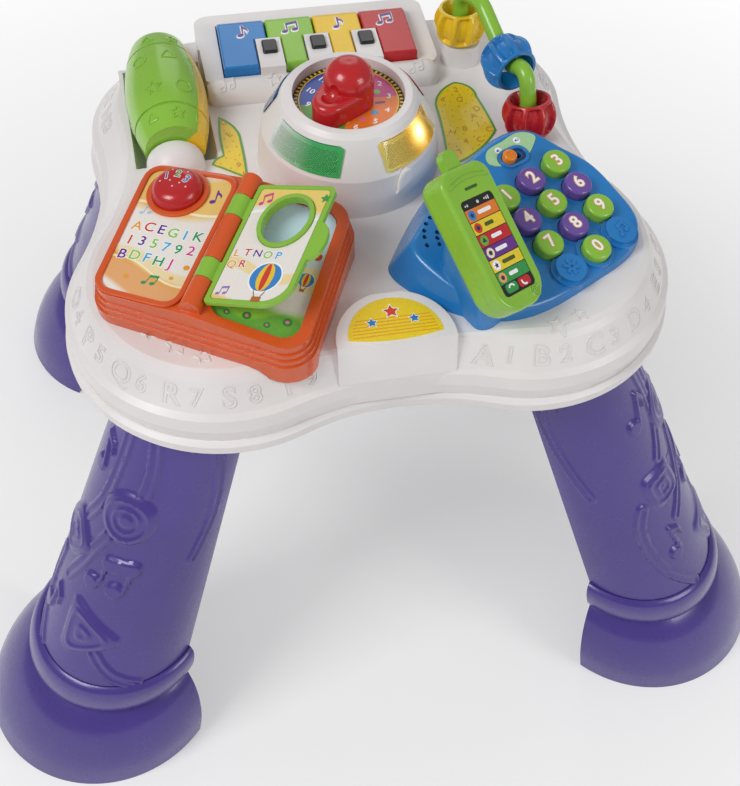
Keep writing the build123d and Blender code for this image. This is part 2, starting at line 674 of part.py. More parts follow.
def key_well(grow, low, high):
    """Space for the four keys, made larger by grow."""
    half = 1.5 * PIANO_PITCH + KEY_W / 2 + PIANO_GAP + grow
    front = PIANO_FRONT - PIANO_GAP - grow
    back = PIANO_BACK + 2 * PIANO_GAP + grow
    with BuildSketch(Plane.XY.offset(low)) as section:
        with Locations((PIANO_X, (front + back) / 2)):
            Rectangle(2 * half, back - front)
    return extrude(section.sketch, amount=high - low, mode=Mode.PRIVATE)


def roller_space(grow):
    """Cylinder round the roller."""
    with BuildSketch(roller_plane.offset(-ROLLER_LEN / 2 - grow)) as section:
        Circle(ROLLER_R + grow)
    return extrude(section.sketch, amount=ROLLER_LEN + 2 * grow, mode=Mode.PRIVATE)


def on_wire(across, up):
    """World point of a point in the wire's upright plane."""
    return WIRE_REAR[0] + across * wire_dir[0], WIRE_REAR[1] + across * wire_dir[1], up


def wire_tube(radius):
    """Round bar along the bead wire's path."""
    foot = WIRE_LOW + WALL
    stations = [(0.0, foot), *WIRE_POINTS, (wire_span, foot)]
    with BuildPart() as body:
        with BuildLine() as path:
            FilletPolyline(*[on_wire(*station) for station in stations], radius=WIRE_BENDS)
        with BuildSketch(Plane(origin=path.line @ 0, z_dir=path.line % 0)):
            Circle(radius)
        sweep(path=path.line)
    return body.part


with BuildPart() as top_shell:
    loft(tray_sections(SKIRT_LEVELS), ruled=True)
    add(plate_boss(0.0))
    add(piano_box(0.0, PIANO_BLOCK_LOW, PIANO_BLOCK[3]))
    with BuildSketch(Plane.YZ.offset(PIANO_X - PIANO_BLOCK[0] + PIANO_BAR_R)):
        with Locations(PIANO_BAR):
            Circle(PIANO_BAR_R)
    extrude(amount=2 * (PIANO_BLOCK[0] - PIANO_BAR_R))
    for side in (-1, 1):
        with Locations((PIANO_X + side * (PIANO_BLOCK[0] - PIANO_BAR_R), *PIANO_BAR)):
            Sphere(PIANO_BAR_R)
    for x, y, z, radius in ROLLER_CAPS:
        with Locations((x, y, z)):
            Sphere(radius)
    loft(tray_sections(CAVITY_LEVELS, WALL), ruled=True, mode=Mode.SUBTRACT)
    add(plate_boss(WALL), mode=Mode.SUBTRACT)
    add(piano_box(-WALL, PIANO_BLOCK_LOW - PAST, PIANO_BLOCK[3] - WALL), mode=Mode.SUBTRACT)
    add(key_well(WALL, PIANO_WELL_LOW, PIANO_BLOCK[3]))
    add(split(roller_space(ROLLER_GAP + ROLLER_WALL), bisect_by=Plane.XY.offset(DECK_Z - WALL / 2),
              keep=Keep.BOTTOM, mode=Mode.PRIVATE))
    for x, y, top in SCREW_SPOTS:
        with BuildSketch(Plane.XY.offset(RIM_BOTTOM + BOSS_H + BOSS_GAP)):
            with Locations((x, y)):
                Circle(SCREW_BOSS_R)
        extrude(amount=top - RIM_BOTTOM - BOSS_H - BOSS_GAP)
    for x, y in BOARD_POSTS:
        with BuildSketch(Plane.XY.offset(BOARD_Z + BOARD_T)):
            with Locations((x, y)):
                Circle(BOARD_POST_R)
        extrude(amount=DECK_Z - WALL / 2 - BOARD_Z - BOARD_T)
    for (x, y), rise in ((WIRE_REAR, WIRE_RISE[0]), (WIRE_FRONT, WIRE_RISE[1])):
        with BuildSketch(Plane.XY.offset(WIRE_LOW)):
            with Locations((x, y)):
                Circle(WIRE_BOSS_R)
        extrude(amount=DECK_Z + rise - WIRE_LOW, taper=WIRE_BOSS_TAPER)
    add(wire_tube(WIRE_R + PIN_RUN), mode=Mode.SUBTRACT)
    add(key_well(0.0, PIANO_WELL_LOW + WALL, PIANO_BLOCK[3] + PAST), mode=Mode.SUBTRACT)
    for number in range(3):
        with BuildSketch(Plane.XY.offset(BLACK_FRAME[2])):
            with Locations((PIANO_X + (number - 1) * PIANO_PITCH, (PIANO_BLOCK[1] + BLACK_FRAME[1]) / 2)):
                Rectangle(BLACK_FRAME[0], BLACK_FRAME[1] - PIANO_BLOCK[1])
        extrude(amount=BLACK_FRAME[3] - BLACK_FRAME[2])
    with BuildSketch(Plane.YZ.offset(PIANO_X - PIANO_AXLE_HALF)):
        with Locations(PIANO_PIN):
            Circle(PIANO_PIN_R + PIN_RUN)
    extrude(amount=2 * PIANO_AXLE_HALF, mode=Mode.SUBTRACT)
    add(roller_space(ROLLER_GAP), mode=Mode.SUBTRACT)
    with BuildSketch(roller_plane.offset(-AXLE_HALF)):
        Circle(AXLE_R + PIN_RUN)
    extrude(amount=2 * AXLE_HALF, mode=Mode.SUBTRACT)
    with BuildSketch(Plane.XY.offset(DECK_Z - WALL - PAST)):
        with Locations(CLOCK):
            Circle(DOME_FOOT[0][0] - 3 * WALL)
        with Locations((SPEAKER[0], SPEAKER[1])):
            Circle(SPEAKER_R - 2 * WALL)
    extrude(amount=2 * WALL, mode=Mode.SUBTRACT)
    window = spot(phone_top, *KEYPAD_MIDDLE)
    window_plane = Plane(origin=(window.X, window.Y, DECK_Z - WALL - PAST), x_dir=(*along(PHONE_TURN), 0))
    extrude(slab(window_plane, *KEYPAD_WINDOW, KEYPAD_CORNER), amount=2 * WALL, mode=Mode.SUBTRACT)
    for x, y, _ in SCREW_SPOTS:
        with Locations(Plane(origin=(x, y, RIM_BOTTOM + BOSS_H), z_dir=(0, 0, -1))):
            Hole(SCREW_R + PIN_RUN, SCREW_LEN)
finish(top_shell, "top_shell")


# Clock: housing, lenses, dial and knob

dome_section = Plane(origin=(*CLOCK, 0), x_dir=(1, 0, 0), z_dir=(0, -1, 0))
clock_axis = Axis((*CLOCK, 0), (0, 0, 1))
cone_run = hypot(CONE_HIGH[0] - CONE_LOW[0], CONE_HIGH[1] - CONE_LOW[1])
cone_dir = ((CONE_HIGH[0] - CONE_LOW[0]) / cone_run, (CONE_HIGH[1] - CONE_LOW[1]) / cone_run)
cone_out = (cone_dir[1], -cone_dir[0])


def on_cone(height, out=0.0):
    """Radius and height of a point of the lens cone, moved outwards."""
    radius = CONE_LOW[0] + (height - CONE_LOW[1]) * cone_dir[0] / cone_dir[1]
    return radius + out * cone_out[0], height + out * cone_out[1]


def lens_face(turn, grow, out):
    """Outline of a lens, on a plane that touches the cone in its middle."""
    low, high = LENS_HEIGHTS
    middle = (low + high) / 2
    radius, height = on_cone(middle, out)
    c, s = along(turn)
    plane = Plane(origin=(CLOCK[0] + radius * c, CLOCK[1] + radius * s, height), x_dir=(-s, c, 0),
                  z_dir=(cone_out[0] * c, cone_out[0] * s, cone_out[1]))
    half = radians(LENS_SPAN / 2)
    corners = []
    for z in (low, high):
        r = on_cone(z)[0]
        mid = (z - middle) / cone_dir[1]
        corners.append((r * sin(half), mid, mid - r * (1 - cos(half)) * cone_dir[0]))
    (w0, m0, e0), (w1, m1, e1) = corners
    with BuildSketch(plane) as section:
        with BuildLine():
            ThreePointArc((-w0, e0), (0, m0), (w0, e0))
            Line((w0, e0), (w1, e1))
            ThreePointArc((w1, e1), (0, m1), (-w1, e1))
            Line((-w1, e1), (-w0, e0))
        make_face()
        fillet(section.vertices(), LENS_CORNER)
        offset(amount=grow)
    return section.sketch


with BuildPart() as dome:
    with BuildSketch(dome_section) as section:
        with BuildLine():
            Polyline((SPINDLE_R + PIN_RUN, DIAL_Z - DIAL_T), (DIAL_R, DIAL_Z - DIAL_T), (DIAL_R, RING_TOP),
                     (RING_R, RING_TOP), CONE_HIGH, CONE_LOW, DOME_FOOT[1], DOME_FOOT[0],
                     (DOME_FOOT[0][0] - WALL, DECK_Z), (DOME_FOOT[1][0] - WALL, DOME_FOOT[1][1]),
                     on_cone(CONE_LOW[1], -WALL), on_cone(DIAL_Z - DIAL_T - WALL, -WALL),
                     (SPINDLE_R + PIN_RUN, DIAL_Z - DIAL_T - WALL), close=True)
        make_face()
        fillet(section.vertices().sort_by(Axis.Z)[-2:], RING_EDGE)
    revolve(axis=clock_axis)
    for _, turn in LENSES:
        extrude(lens_face(turn, 0.0, -WALL - 2 * PAST), amount=WALL + LENS_CUT, mode=Mode.SUBTRACT)
finish(dome, "dome")

for lens_name, turn in LENSES:
    with BuildPart() as lens:
        with BuildSketch(dome_section):
            with BuildLine():
                low, high = CONE_LOW[1], CONE_HIGH[1]
                Polyline(on_cone(low, LENS_OUT - LENS_T), on_cone(low, LENS_OUT),
                         on_cone(high, LENS_OUT), on_cone(high, LENS_OUT - LENS_T), close=True)
            make_face()
        revolve(axis=clock_axis)
        extrude(lens_face(turn, -LENS_GAP, -WALL - 2 * PAST), amount=WALL + LENS_CUT, mode=Mode.INTERSECT)
    finish(lens, lens_name)

with BuildPart() as clock_face:
    with BuildSketch(Plane.XY.offset(DIAL_Z - DIAL_T)):
        with Locations(CLOCK):
            Circle(DIAL_R - FIT)
            Circle(SPINDLE_R + FIT, mode=Mode.SUBTRACT)
    extrude(amount=DIAL_T)
finish(clock_face, "clock_face")

with BuildPart() as clock_knob:
    knob_low = DIAL_Z + FIT
    lobe = along(KNOB_TURN)
    lobe_at = (CLOCK[0] + KNOB_ARM * lobe[0], CLOCK[1] + KNOB_ARM * lobe[1])
    with BuildSketch(Plane.XY.offset(knob_low)):
        with Locations(CLOCK):
            Circle(KNOB_R)
        with Locations(lobe_at):
            Circle(KNOB_LOBE_R)
        make_hull()
    extrude(amount=KNOB_LOBE_TOP - knob_low)
    fillet(clock_knob.faces().sort_by(Axis.Z)[-1].edges(), KNOB_EDGE)
    with BuildSketch(dome_section):
        with BuildLine():
            shoulder = KNOB_TOP - KNOB_CROWN
            Polyline((0, KNOB_TOP), (0, knob_low), (KNOB_R, knob_low), (KNOB_R, shoulder))
            ThreePointArc((KNOB_R, shoulder), (KNOB_R * 0.72, KNOB_TOP - KNOB_CROWN * 0.28), (0, KNOB_TOP))
        make_face()
    revolve(axis=clock_axis)
    with Locations((*lobe_at, KNOB_LOBE_TOP + KNOB_DIMPLE_R - KNOB_DIMPLE)):
        Sphere(KNOB_DIMPLE_R, mode=Mode.SUBTRACT)
    snap_top = DIAL_Z - DIAL_T - WALL - FIT
    snap_reach, snap_high = SPINDLE_SNAP
    with BuildSketch(Plane.XY.offset(snap_top - snap_high)):
        with Locations(CLOCK):
            Circle(SPINDLE_R)
    extrude(amount=knob_low - snap_top + snap_high)
    with BuildSketch(Plane.XY.offset(snap_top - snap_high)):
        with Locations(CLOCK):
            Circle(SPINDLE_R + snap_reach)
    extrude(amount=snap_high)
finish(clock_knob, "clock_knob")

# Inside: circuit board, lamps, speaker

with BuildPart() as circuit_board:
    extrude(slab(Plane(origin=(*CLOCK, BOARD_Z)), *BOARD_SIZE, BOARD_CORNER), amount=BOARD_T)
finish(circuit_board, "circuit_board")

with BuildPart() as leds:
    for _, turn in LENSES:
        c, s = along(turn)
        with BuildSketch(Plane.XY.offset(BOARD_Z + BOARD_T)):
            with Locations((CLOCK[0] + LED_ARM * c, CLOCK[1] + LED_ARM * s)):
                Rectangle(LED_W, LED_W)
        extrude(amount=LED_TOP - BOARD_Z - BOARD_T)
        with Locations((CLOCK[0] + LED_ARM * c, CLOCK[1] + LED_ARM * s, LED_TOP)):
            Sphere(LED_W / 2)
finish(leds, "leds")

with BuildPart() as speaker:
    with BuildSketch(Plane(origin=(*SPEAKER, DECK_Z - WALL), x_dir=(1, 0, 0), z_dir=(0, -1, 0))):
        with BuildLine():
            magnet_r, magnet_top, magnet_low = SPEAKER_MAGNET
            cap_r, cap_foot, cap_top = SPEAKER_CONE
            rim_w, rim_h = SPEAKER_RIM
            Polyline((0, magnet_low), (magnet_r, magnet_low), (magnet_r, magnet_top),
                     (SPEAKER_R - rim_w / 2, -rim_h), (SPEAKER_R, -rim_h), (SPEAKER_R, 0),
                     (SPEAKER_R - rim_w, 0), (cap_r, cap_foot), (0, cap_top), close=True)
        make_face()
    revolve(axis=Axis((*SPEAKER, 0), (0, 0, 1)))
finish(speaker, "speaker")


# Book: tray, labels, page and its hinge

def book_outline(low, grow):
    """Outline of the book at a height of its own plane."""
    return rounded(book_plane.offset(low), BOOK_CORNERS, BOOK_CORNER_R, grow)


def spine_face(radius, low):
    """Disc round the hinge line, from low along the spine."""
    with BuildSketch(Plane(origin=spot(spine_plane, 0, low), x_dir=spine_plane.x_dir,
                           z_dir=spine_plane.y_dir)) as section:
        Circle(radius)
    return section.sketch


def button_face(radius, height):
    """Disc on the left page, round the middle of the big button."""
    with BuildSketch(left_page_plane.offset(height)) as section:
        with Locations(BUTTON_AT):
            Circle(radius)
    return section.sketch


def tray_body():
    """The upper shell's outer form with a little clearance, for what sits over its edge."""
    with BuildPart() as body:
        loft(tray_sections(SKIRT_LEVELS, -FIT), ruled=True)
        add(plate_boss(-FIT))
    return body.part


seat_form = tray_body()

with BuildPart() as book_tray:
    highs = (BOOK_HIGH, *BOOK_STEPS)
    lows = (*BOOK_STEPS, BOOK_DEEP)
    for number, (high, low) in enumerate(zip(highs, lows)):
        extrude(book_outline(low, number * BOOK_STEP_OUT), amount=high - low)
    split(bisect_by=left_page_plane, keep=Keep.BOTTOM)
    split(bisect_by=right_page_plane, keep=Keep.BOTTOM)
    for low, high in KNUCKLES:
        extrude(spine_face(SPINE_R, low), amount=high - low)
    extrude(button_face(COLLAR_RING[0], -LEFT_SINK), amount=LEFT_SINK + COLLAR_RING[1])
    extrude(book_outline(BOOK_DEEP - PAST, -WALL), amount=BOOK_CAVITY - BOOK_DEEP + PAST, mode=Mode.SUBTRACT)
    extrude(rounded(left_page_plane.offset(-LEFT_SINK), LEFT_PAGE, PAGE_CORNER_R), amount=2 * LEFT_SINK,
            mode=Mode.SUBTRACT)
    extrude(button_face(COLLAR_RING[0], -LEFT_SINK), amount=LEFT_SINK + COLLAR_RING[1])
    extrude(rounded(right_page_plane.offset(-RIGHT_SINK), RIGHT_PAGE, PAGE_CORNER_R), amount=2 * RIGHT_SINK,
            mode=Mode.SUBTRACT)
    extrude(button_face(BUTTON_R + RUN, -3 * WALL), amount=4 * WALL, mode=Mode.SUBTRACT)
    extrude(button_face(BUTTON_FLANGE[0] + RUN, BUTTON_SEAT - BUTTON_SHAFT), amount=BUTTON_SHAFT,
            mode=Mode.SUBTRACT)
    for low, high in PAGE_KNUCKLES:
        extrude(spine_face(SPINE_R + RUN, low - RUN), amount=high - low + 2 * RUN, mode=Mode.SUBTRACT)
    extrude(spine_face(SPINE_PIN_R + PIN_RUN, KNUCKLES[0][0] + PAST), amount=KNUCKLES[-1][1] - KNUCKLES[0][0],
            mode=Mode.SUBTRACT)
    add(seat_form, mode=Mode.SUBTRACT)
    split(bisect_by=Plane.XY.offset(TRAY_CUT), keep=Keep.TOP)
finish(book_tray, "book_tray")

with BuildPart() as book_left_label:
    extrude(rounded(left_page_plane.offset(-LEFT_SINK), LEFT_PAGE, PAGE_CORNER_R, -FIT), amount=LABEL_T)
    extrude(button_face(COLLAR_RING[0] + FIT, -LEFT_SINK), amount=LABEL_T, mode=Mode.SUBTRACT)
finish(book_left_label, "book_left_label")

with BuildPart() as book_right_label:
    extrude(rounded(right_page_plane.offset(-RIGHT_SINK), RIGHT_PAGE, PAGE_CORNER_R, -FIT), amount=LABEL_T)
finish(book_right_label, "book_right_label")

with BuildPart() as page_hinge_pin:
    pin_start = KNUCKLES[0][0] + PAST + FIT
    extrude(spine_face(SPINE_PIN_R, pin_start), amount=KNUCKLES[-1][1] - KNUCKLES[0][0] - 2 * FIT)
finish(page_hinge_pin, "page_hinge_pin")


def page_outline(height, inset):
    """Outline of the turning page, moved in by inset."""
    left = PAGE_START + inset
    right = PAGE_START + PAGE_W - inset
    half = PAGE_H / 2 - inset
    with BuildSketch(page_plane.offset(height)) as section:
        with BuildLine():
            Polyline((left, -half), (right, -half), (right, half), (left, half), close=True)
        make_face()
        corners = section.vertices().group_by(Axis.X)
        fillet(corners[-1].sort_by(Axis.Y)[0], PAGE_CORNERS[0] - inset)
        fillet(section.vertices().sort_by(Axis.Y)[-2:].sort_by(Axis.X)[-1], PAGE_CORNERS[1] - inset)
        fillet(section.vertices().sort_by(Axis.X)[:2], PAGE_CORNERS[2])
    return section.sketch


def page_oval(height, grow):
    """Oval round the hole in the page."""
    u, v, half_u, half_v = PAGE_HOLE
    with BuildSketch(page_plane.offset(height)) as section:
        with Locations((u, v)):
            Ellipse(half_u + grow, half_v + grow)
    return section.sketch


with BuildPart() as page_frame:
    extrude(page_outline(-PAGE_T / 2, 0.0), amount=PAGE_T)
    with BuildSketch(page_plane.offset(-PAGE_T / 2)):
        with Locations(PAGE_TAB[:2]):
            Ellipse(*PAGE_TAB[2:])
    extrude(amount=PAGE_T)
    for side in (1, -1):
        extrude(page_outline(side * (PAGE_T / 2 - PAGE_SINK), PAGE_BORDER), amount=side * 2 * PAGE_SINK,
                mode=Mode.SUBTRACT)
    extrude(page_oval(-PAGE_T / 2 - PAGE_RING[1], PAGE_RING[0]), amount=PAGE_T + 2 * PAGE_RING[1])
    for low, high in PAGE_KNUCKLES:
        with BuildSketch(page_plane.offset(-PAGE_T / 2)):
            with Locations(((PAGE_START + PAGE_BORDER) / 2, (low + high) / 2)):
                Rectangle(PAGE_START + PAGE_BORDER, high - low)
        extrude(amount=PAGE_T)
        extrude(spine_face(SPINE_R, low), amount=high - low)
        extrude(spine_face(SPINE_PIN_R + PIN_RUN, low - PAST), amount=high - low + 2 * PAST,
                mode=Mode.SUBTRACT)
    extrude(page_oval(-PAGE_T, 0.0), amount=2 * PAGE_T, mode=Mode.SUBTRACT)
finish(page_frame, "page_frame")

with BuildPart() as page_print:
    for side in (1, -1):
        extrude(page_outline(side * (PAGE_T / 2 - PAGE_SINK), PAGE_BORDER + FIT), amount=side * LABEL_T)
    extrude(page_oval(-PAGE_T, PAGE_RING[0] + FIT), amount=2 * PAGE_T, mode=Mode.SUBTRACT)
finish(page_print, "page_print")

with BuildPart() as abc_button:
    flange_top = BUTTON_SEAT - FIT / 2
    flange_low = flange_top - BUTTON_FLANGE[1]
    extrude(button_face(BUTTON_R, flange_low), amount=BUTTON_HIGH - flange_low)
    button_axis = Axis(left_page_plane.origin, left_page_plane.z_dir)
    fillet(abc_button.faces().sort_by(button_axis)[-1].edges(), BUTTON_ROUND)
    extrude(button_face(BUTTON_FLANGE[0], flange_low), amount=BUTTON_FLANGE[1])
finish(abc_button, "abc_button")


# Phone: base, keys, keypad sheet and volume switch

def phone_outline(drop, grow):
    """Outline of the phone base below its top face: the sides flare out towards the deck."""
    points = []
    for u, v in PHONE_OUTLINE:
        reach = hypot(u - PHONE_HUB[0], v - PHONE_HUB[1])
        share = 1.0 + (drop * PHONE_FLARE + grow) / reach
        points.append((PHONE_HUB[0] + (u - PHONE_HUB[0]) * share, PHONE_HUB[1] + (v - PHONE_HUB[1]) * share))
    return closed_curve(phone_top.offset(-drop), points)


def key_places():
    """Name and place of each key."""
    places = []
    for row, names in enumerate(KEY_ROWS):
        for column, name in enumerate(names):
            if name:
                x = (column - 1) * KEY_PITCH[0] + (row - 1) * KEY_ROW_SHIFT
                places.append((name, (x, (1 - row) * KEY_PITCH[1])))
    return places


def phone_disc(place, radius, height):
    """Disc over the phone's top face; heights are measured from the key tops."""
    with BuildSketch(phone_plane.offset(height)) as section:
        with Locations(place):
            Circle(radius)
    return section.sketch


def phone_post(place, radius, low, high):
    """Round post on the phone."""
    return extrude(phone_disc(place, radius, low), amount=high - low, mode=Mode.PRIVATE)


def cradle(grow, out):
    """Outline of the rest under the handset."""
    half, low, high = CRADLE
    points = ((-half, low), (half, low), (half, high), (-half, high))
    return rounded(handset_plane.offset(out), points, CRADLE_CORNER, grow)


slide_dir = toward((0, 0), (SWITCH_TO[0] - SWITCH_FROM[0], SWITCH_TO[1] - SWITCH_FROM[1]), 1.0)
slide_len = hypot(SWITCH_TO[0] - SWITCH_FROM[0], SWITCH_TO[1] - SWITCH_FROM[1])
switch_plane = Plane(origin=spot(phone_top, *SWITCH_FROM),
                     x_dir=phone_top.x_dir * slide_dir[0] + phone_top.y_dir * slide_dir[1],
                     z_dir=phone_top.z_dir)


def switch_slot(radius, height):
    """Long hole along the switch's path."""
    with BuildSketch(switch_plane.offset(height)) as section:
        with Locations((slide_len / 2, 0)):
            SlotCenterToCenter(slide_len, 2 * radius)
    return section.sketch


base_top = -KEY_STAND
sheet_top = -KEY_DEEP - KEY_TRAVEL - FIT - DOME_H

with BuildPart() as phone_base:
    loft([phone_outline(0.0, 0.0), phone_outline(PHONE_DROP, 0.0)], ruled=True)
    top_face = phone_base.faces().sort_by(Axis(phone_top.origin, phone_top.z_dir))[-1]
    fillet(top_face.edges(), PHONE_EDGE)
    extrude(cradle(0.0, -HANDSET_T - FIT), amount=CRADLE_DEEP, dir=(0, 0, -1))
    for place in (*BUMPS, key_places()[-1][1]):
        add(phone_post(place, PLINTH_R, base_top - PLINTH_DROP, PLINTH_TOP))
    loft([phone_outline(WALL, -WALL), phone_outline(PHONE_DROP + PAST, -WALL)], ruled=True,
         mode=Mode.SUBTRACT)
    extrude(cradle(-WALL, -HANDSET_T - FIT - WALL), amount=CRADLE_DEEP, dir=(0, 0, -1), mode=Mode.SUBTRACT)
    for place in BUMPS:
        add(phone_post(place, BUMP_R, base_top - PAST, BUMP_TOP))
    for x in (KEYPAD_POSTS[0], -KEYPAD_POSTS[0]):
        for y in KEYPAD_POSTS[1]:
            add(phone_post((x, y), KEYPAD_POST_R, sheet_top, base_top - PAST))
    for _, place in key_places():
        add(phone_post(place, KEY_R + RUN, base_top - WALL - PAST, PAST), mode=Mode.SUBTRACT)
    extrude(switch_slot(SWITCH_RING_R, -WALL), amount=WALL + SWITCH_RING_H)
    extrude(switch_slot(SWITCH_R + RUN, FIT), amount=2 * SWITCH_RING_H, mode=Mode.SUBTRACT)
    extrude(switch_slot(SWITCH_STEM_R + RUN, -2 * WALL), amount=3 * WALL, mode=Mode.SUBTRACT)
    for place in SPEAKER_HOLES:
        add(phone_post(place, SPEAKER_HOLE_R, base_top - 2 * WALL, base_top + PAST), mode=Mode.SUBTRACT)
    add(seat_form, mode=Mode.SUBTRACT)
    split(bisect_by=Plane.XY.offset(TRAY_CUT), keep=Keep.TOP)
finish(phone_base, "phone_base")

for name, place in key_places():
    with BuildPart() as key:
        extrude(phone_disc(place, KEY_R, -KEY_DEEP), amount=KEY_DEEP)
        fillet(key.faces().sort_by(Axis(phone_plane.origin, phone_plane.z_dir))[-1].edges(), KEY_EDGE)
        with BuildSketch(phone_plane.offset(base_top - WALL - FIT / 2 - KEY_LUG[2])):
            with Locations(place):
                Rectangle(2 * KEY_LUG[0], KEY_LUG[1])
        extrude(amount=KEY_LUG[2])
    finish(key, "key_" + name)

with BuildPart() as keypad_membrane:
    window = (KEYPAD_WINDOW[0] - 2 * WALL, KEYPAD_WINDOW[1] - 2 * WALL)
    sheet_plane = Plane(origin=spot(phone_plane, *KEYPAD_SHEET, sheet_top - SHEET_T),
                        x_dir=phone_plane.x_dir, z_dir=phone_plane.z_dir)
    extrude(slab(sheet_plane, *window, KEYPAD_CORNER), amount=SHEET_T)
    for _, place in key_places():
        extrude(phone_disc(place, DOME_R, sheet_top), amount=DOME_H, taper=DOME_TAPER)
finish(keypad_membrane, "keypad_membrane")

with BuildPart() as switch_knob:
    with BuildSketch(switch_plane.offset(2 * FIT)):
        Circle(SWITCH_R)
    extrude(amount=SWITCH_HIGH - 2 * FIT)
    fillet(switch_knob.faces().sort_by(Axis(phone_plane.origin, phone_plane.z_dir))[-1].edges(), SWITCH_EDGE)
    with BuildSketch(switch_plane.offset(-WALL - FIT - SWITCH_FOOT[2])):
        Circle(SWITCH_STEM_R)
    extrude(amount=WALL + 3 * FIT + SWITCH_FOOT[2])
    with BuildSketch(switch_plane.offset(-WALL - FIT - SWITCH_FOOT[2])):
        Rectangle(*SWITCH_FOOT[:2])
    extrude(amount=SWITCH_FOOT[2])
finish(switch_knob, "switch_knob")

with BuildPart() as switch_label:
    extrude(closed_curve(phone_top, SWITCH_LABEL), amount=LABEL_T)
    extrude(switch_slot(SWITCH_RING_R + FIT, -PAST), amount=2 * PAST, mode=Mode.SUBTRACT)
finish(switch_label, "switch_label")


# Handset

def handset_outline(height, grow):
    """Outline of the handset at a height of its own plane."""
    half = HANDSET_W / 2
    with BuildSketch(handset_plane.offset(height)) as section:
        with BuildLine():
            Polyline((-half, HANDSET_LOW), (half, HANDSET_LOW), (half, HANDSET_HIGH), (-half, HANDSET_HIGH),
                     close=True)
        make_face()
        fillet(section.vertices().sort_by(Axis.Y)[:2], HANDSET_FOOT_R)
        fillet(section.vertices().sort_by(Axis.Y)[-2:], HANDSET_HEAD_R)
        if grow:
            offset(amount=grow)
    return section.sketch


def screen_outline(height, grow):
    """Outline of the handset's screen."""
    with BuildSketch(handset_plane.offset(height)) as section:
        with Locations((0, (SCREEN_LOW + SCREEN_HIGH) / 2)):
            RectangleRounded(SCREEN_W + 2 * grow, SCREEN_HIGH - SCREEN_LOW + 2 * grow, SCREEN_CORNER)
    return section.sketch


handset_axis = Axis(handset_plane.origin, handset_plane.z_dir)

with BuildPart() as handset_front:
    extrude(handset_outline(HANDSET_SEAM, 0.0), amount=-HANDSET_SEAM)
    fillet(handset_front.faces().sort_by(handset_axis)[-1].edges(), HANDSET_EDGE)
    mid, radius, tip = ANTENNA
    with BuildSketch(handset_plane.offset(HANDSET_SEAM + ANTENNA_SPAN[0])):
        with Locations((mid, HANDSET_HIGH)):
            Rectangle(2 * radius, 2 * (tip - HANDSET_HIGH - radius))
        with Locations((mid, tip - radius)):
            Circle(radius)
    extrude(amount=ANTENNA_SPAN[1] - ANTENNA_SPAN[0])
    split(bisect_by=handset_plane.offset(HANDSET_SEAM), keep=Keep.TOP)
    extrude(handset_outline(HANDSET_SEAM, -HANDSET_SHELL), amount=-HANDSET_SEAM - SCREEN_DEEP - HANDSET_SHELL,
            mode=Mode.SUBTRACT)
    extrude(screen_outline(-SCREEN_DEEP, FIT), amount=2 * SCREEN_DEEP, mode=Mode.SUBTRACT)
finish(handset_front, "handset_front")


def handset_hollow():
    """Space inside the back shell."""
    with BuildPart() as body:
        extrude(handset_outline(-HANDSET_T + HANDSET_SHELL, -HANDSET_SHELL), amount=HANDSET_T)
        fillet(body.faces().sort_by(handset_axis)[0].edges(), HANDSET_BACK_R - HANDSET_SHELL)
    return body.part


with BuildPart() as handset_back:
    extrude(handset_outline(-HANDSET_T, 0.0), amount=HANDSET_T + HANDSET_SEAM)
    fillet(handset_back.faces().sort_by(handset_axis)[0].edges(), HANDSET_BACK_R)
    add(handset_hollow(), mode=Mode.SUBTRACT)
finish(handset_back, "handset_back")

with BuildPart() as handset_screen:
    extrude(screen_outline(-SCREEN_DEEP, 0.0), amount=SCREEN_DEEP - FIT)
finish(handset_screen, "handset_screen")


# Roller: a barrel in two colours on a fixed axle

def barrel(start, span):
    """Part of the roller's thin barrel, from an angle round its axle."""
    turned = swung(roller_plane, about_z=start)
    half = ROLLER_LEN / 2
    inner = half - ROLLER_WALL
    inner_r = ROLLER_END_R - ROLLER_WALL
    bore = AXLE_R + PIN_RUN
    with BuildPart() as body:
        with BuildSketch(Plane(origin=ROLLER, x_dir=turned.z_dir, z_dir=-turned.y_dir)):
            with BuildLine():
                ThreePointArc((-half, ROLLER_END_R), (0, ROLLER_R), (half, ROLLER_END_R))
                Polyline((half, ROLLER_END_R), (half, bore), (inner, bore), (inner, inner_r))
                ThreePointArc((inner, inner_r), (0, ROLLER_R - ROLLER_WALL), (-inner, inner_r))
                Polyline((-inner, inner_r), (-inner, bore), (-half, bore), (-half, ROLLER_END_R))
            make_face()
        revolve(axis=Axis(ROLLER, roller_plane.z_dir), revolution_arc=span)
        for place in ROLLER_GROOVES:
            with BuildSketch(roller_plane.offset(place - ROLLER_GROOVE[1] / 2)):
                Circle(ROLLER_R)
                Circle(ROLLER_GROOVE[0], mode=Mode.SUBTRACT)
            extrude(amount=ROLLER_GROOVE[1], mode=Mode.SUBTRACT)
    return body.part


with BuildPart() as roller_green:
    add(barrel(YELLOW_START + YELLOW_SPAN, 360.0 - YELLOW_SPAN))
finish(roller_green, "roller_green")

with BuildPart() as roller_yellow:
    add(barrel(YELLOW_START, YELLOW_SPAN))
finish(roller_yellow, "roller_yellow")

with BuildPart() as roller_axle:
    with BuildSketch(roller_plane.offset(FIT - AXLE_HALF)):
        Circle(AXLE_R)
    extrude(amount=2 * (AXLE_HALF - FIT))
finish(roller_axle, "roller_axle")


# Piano: four keys on one axle, black pads between them

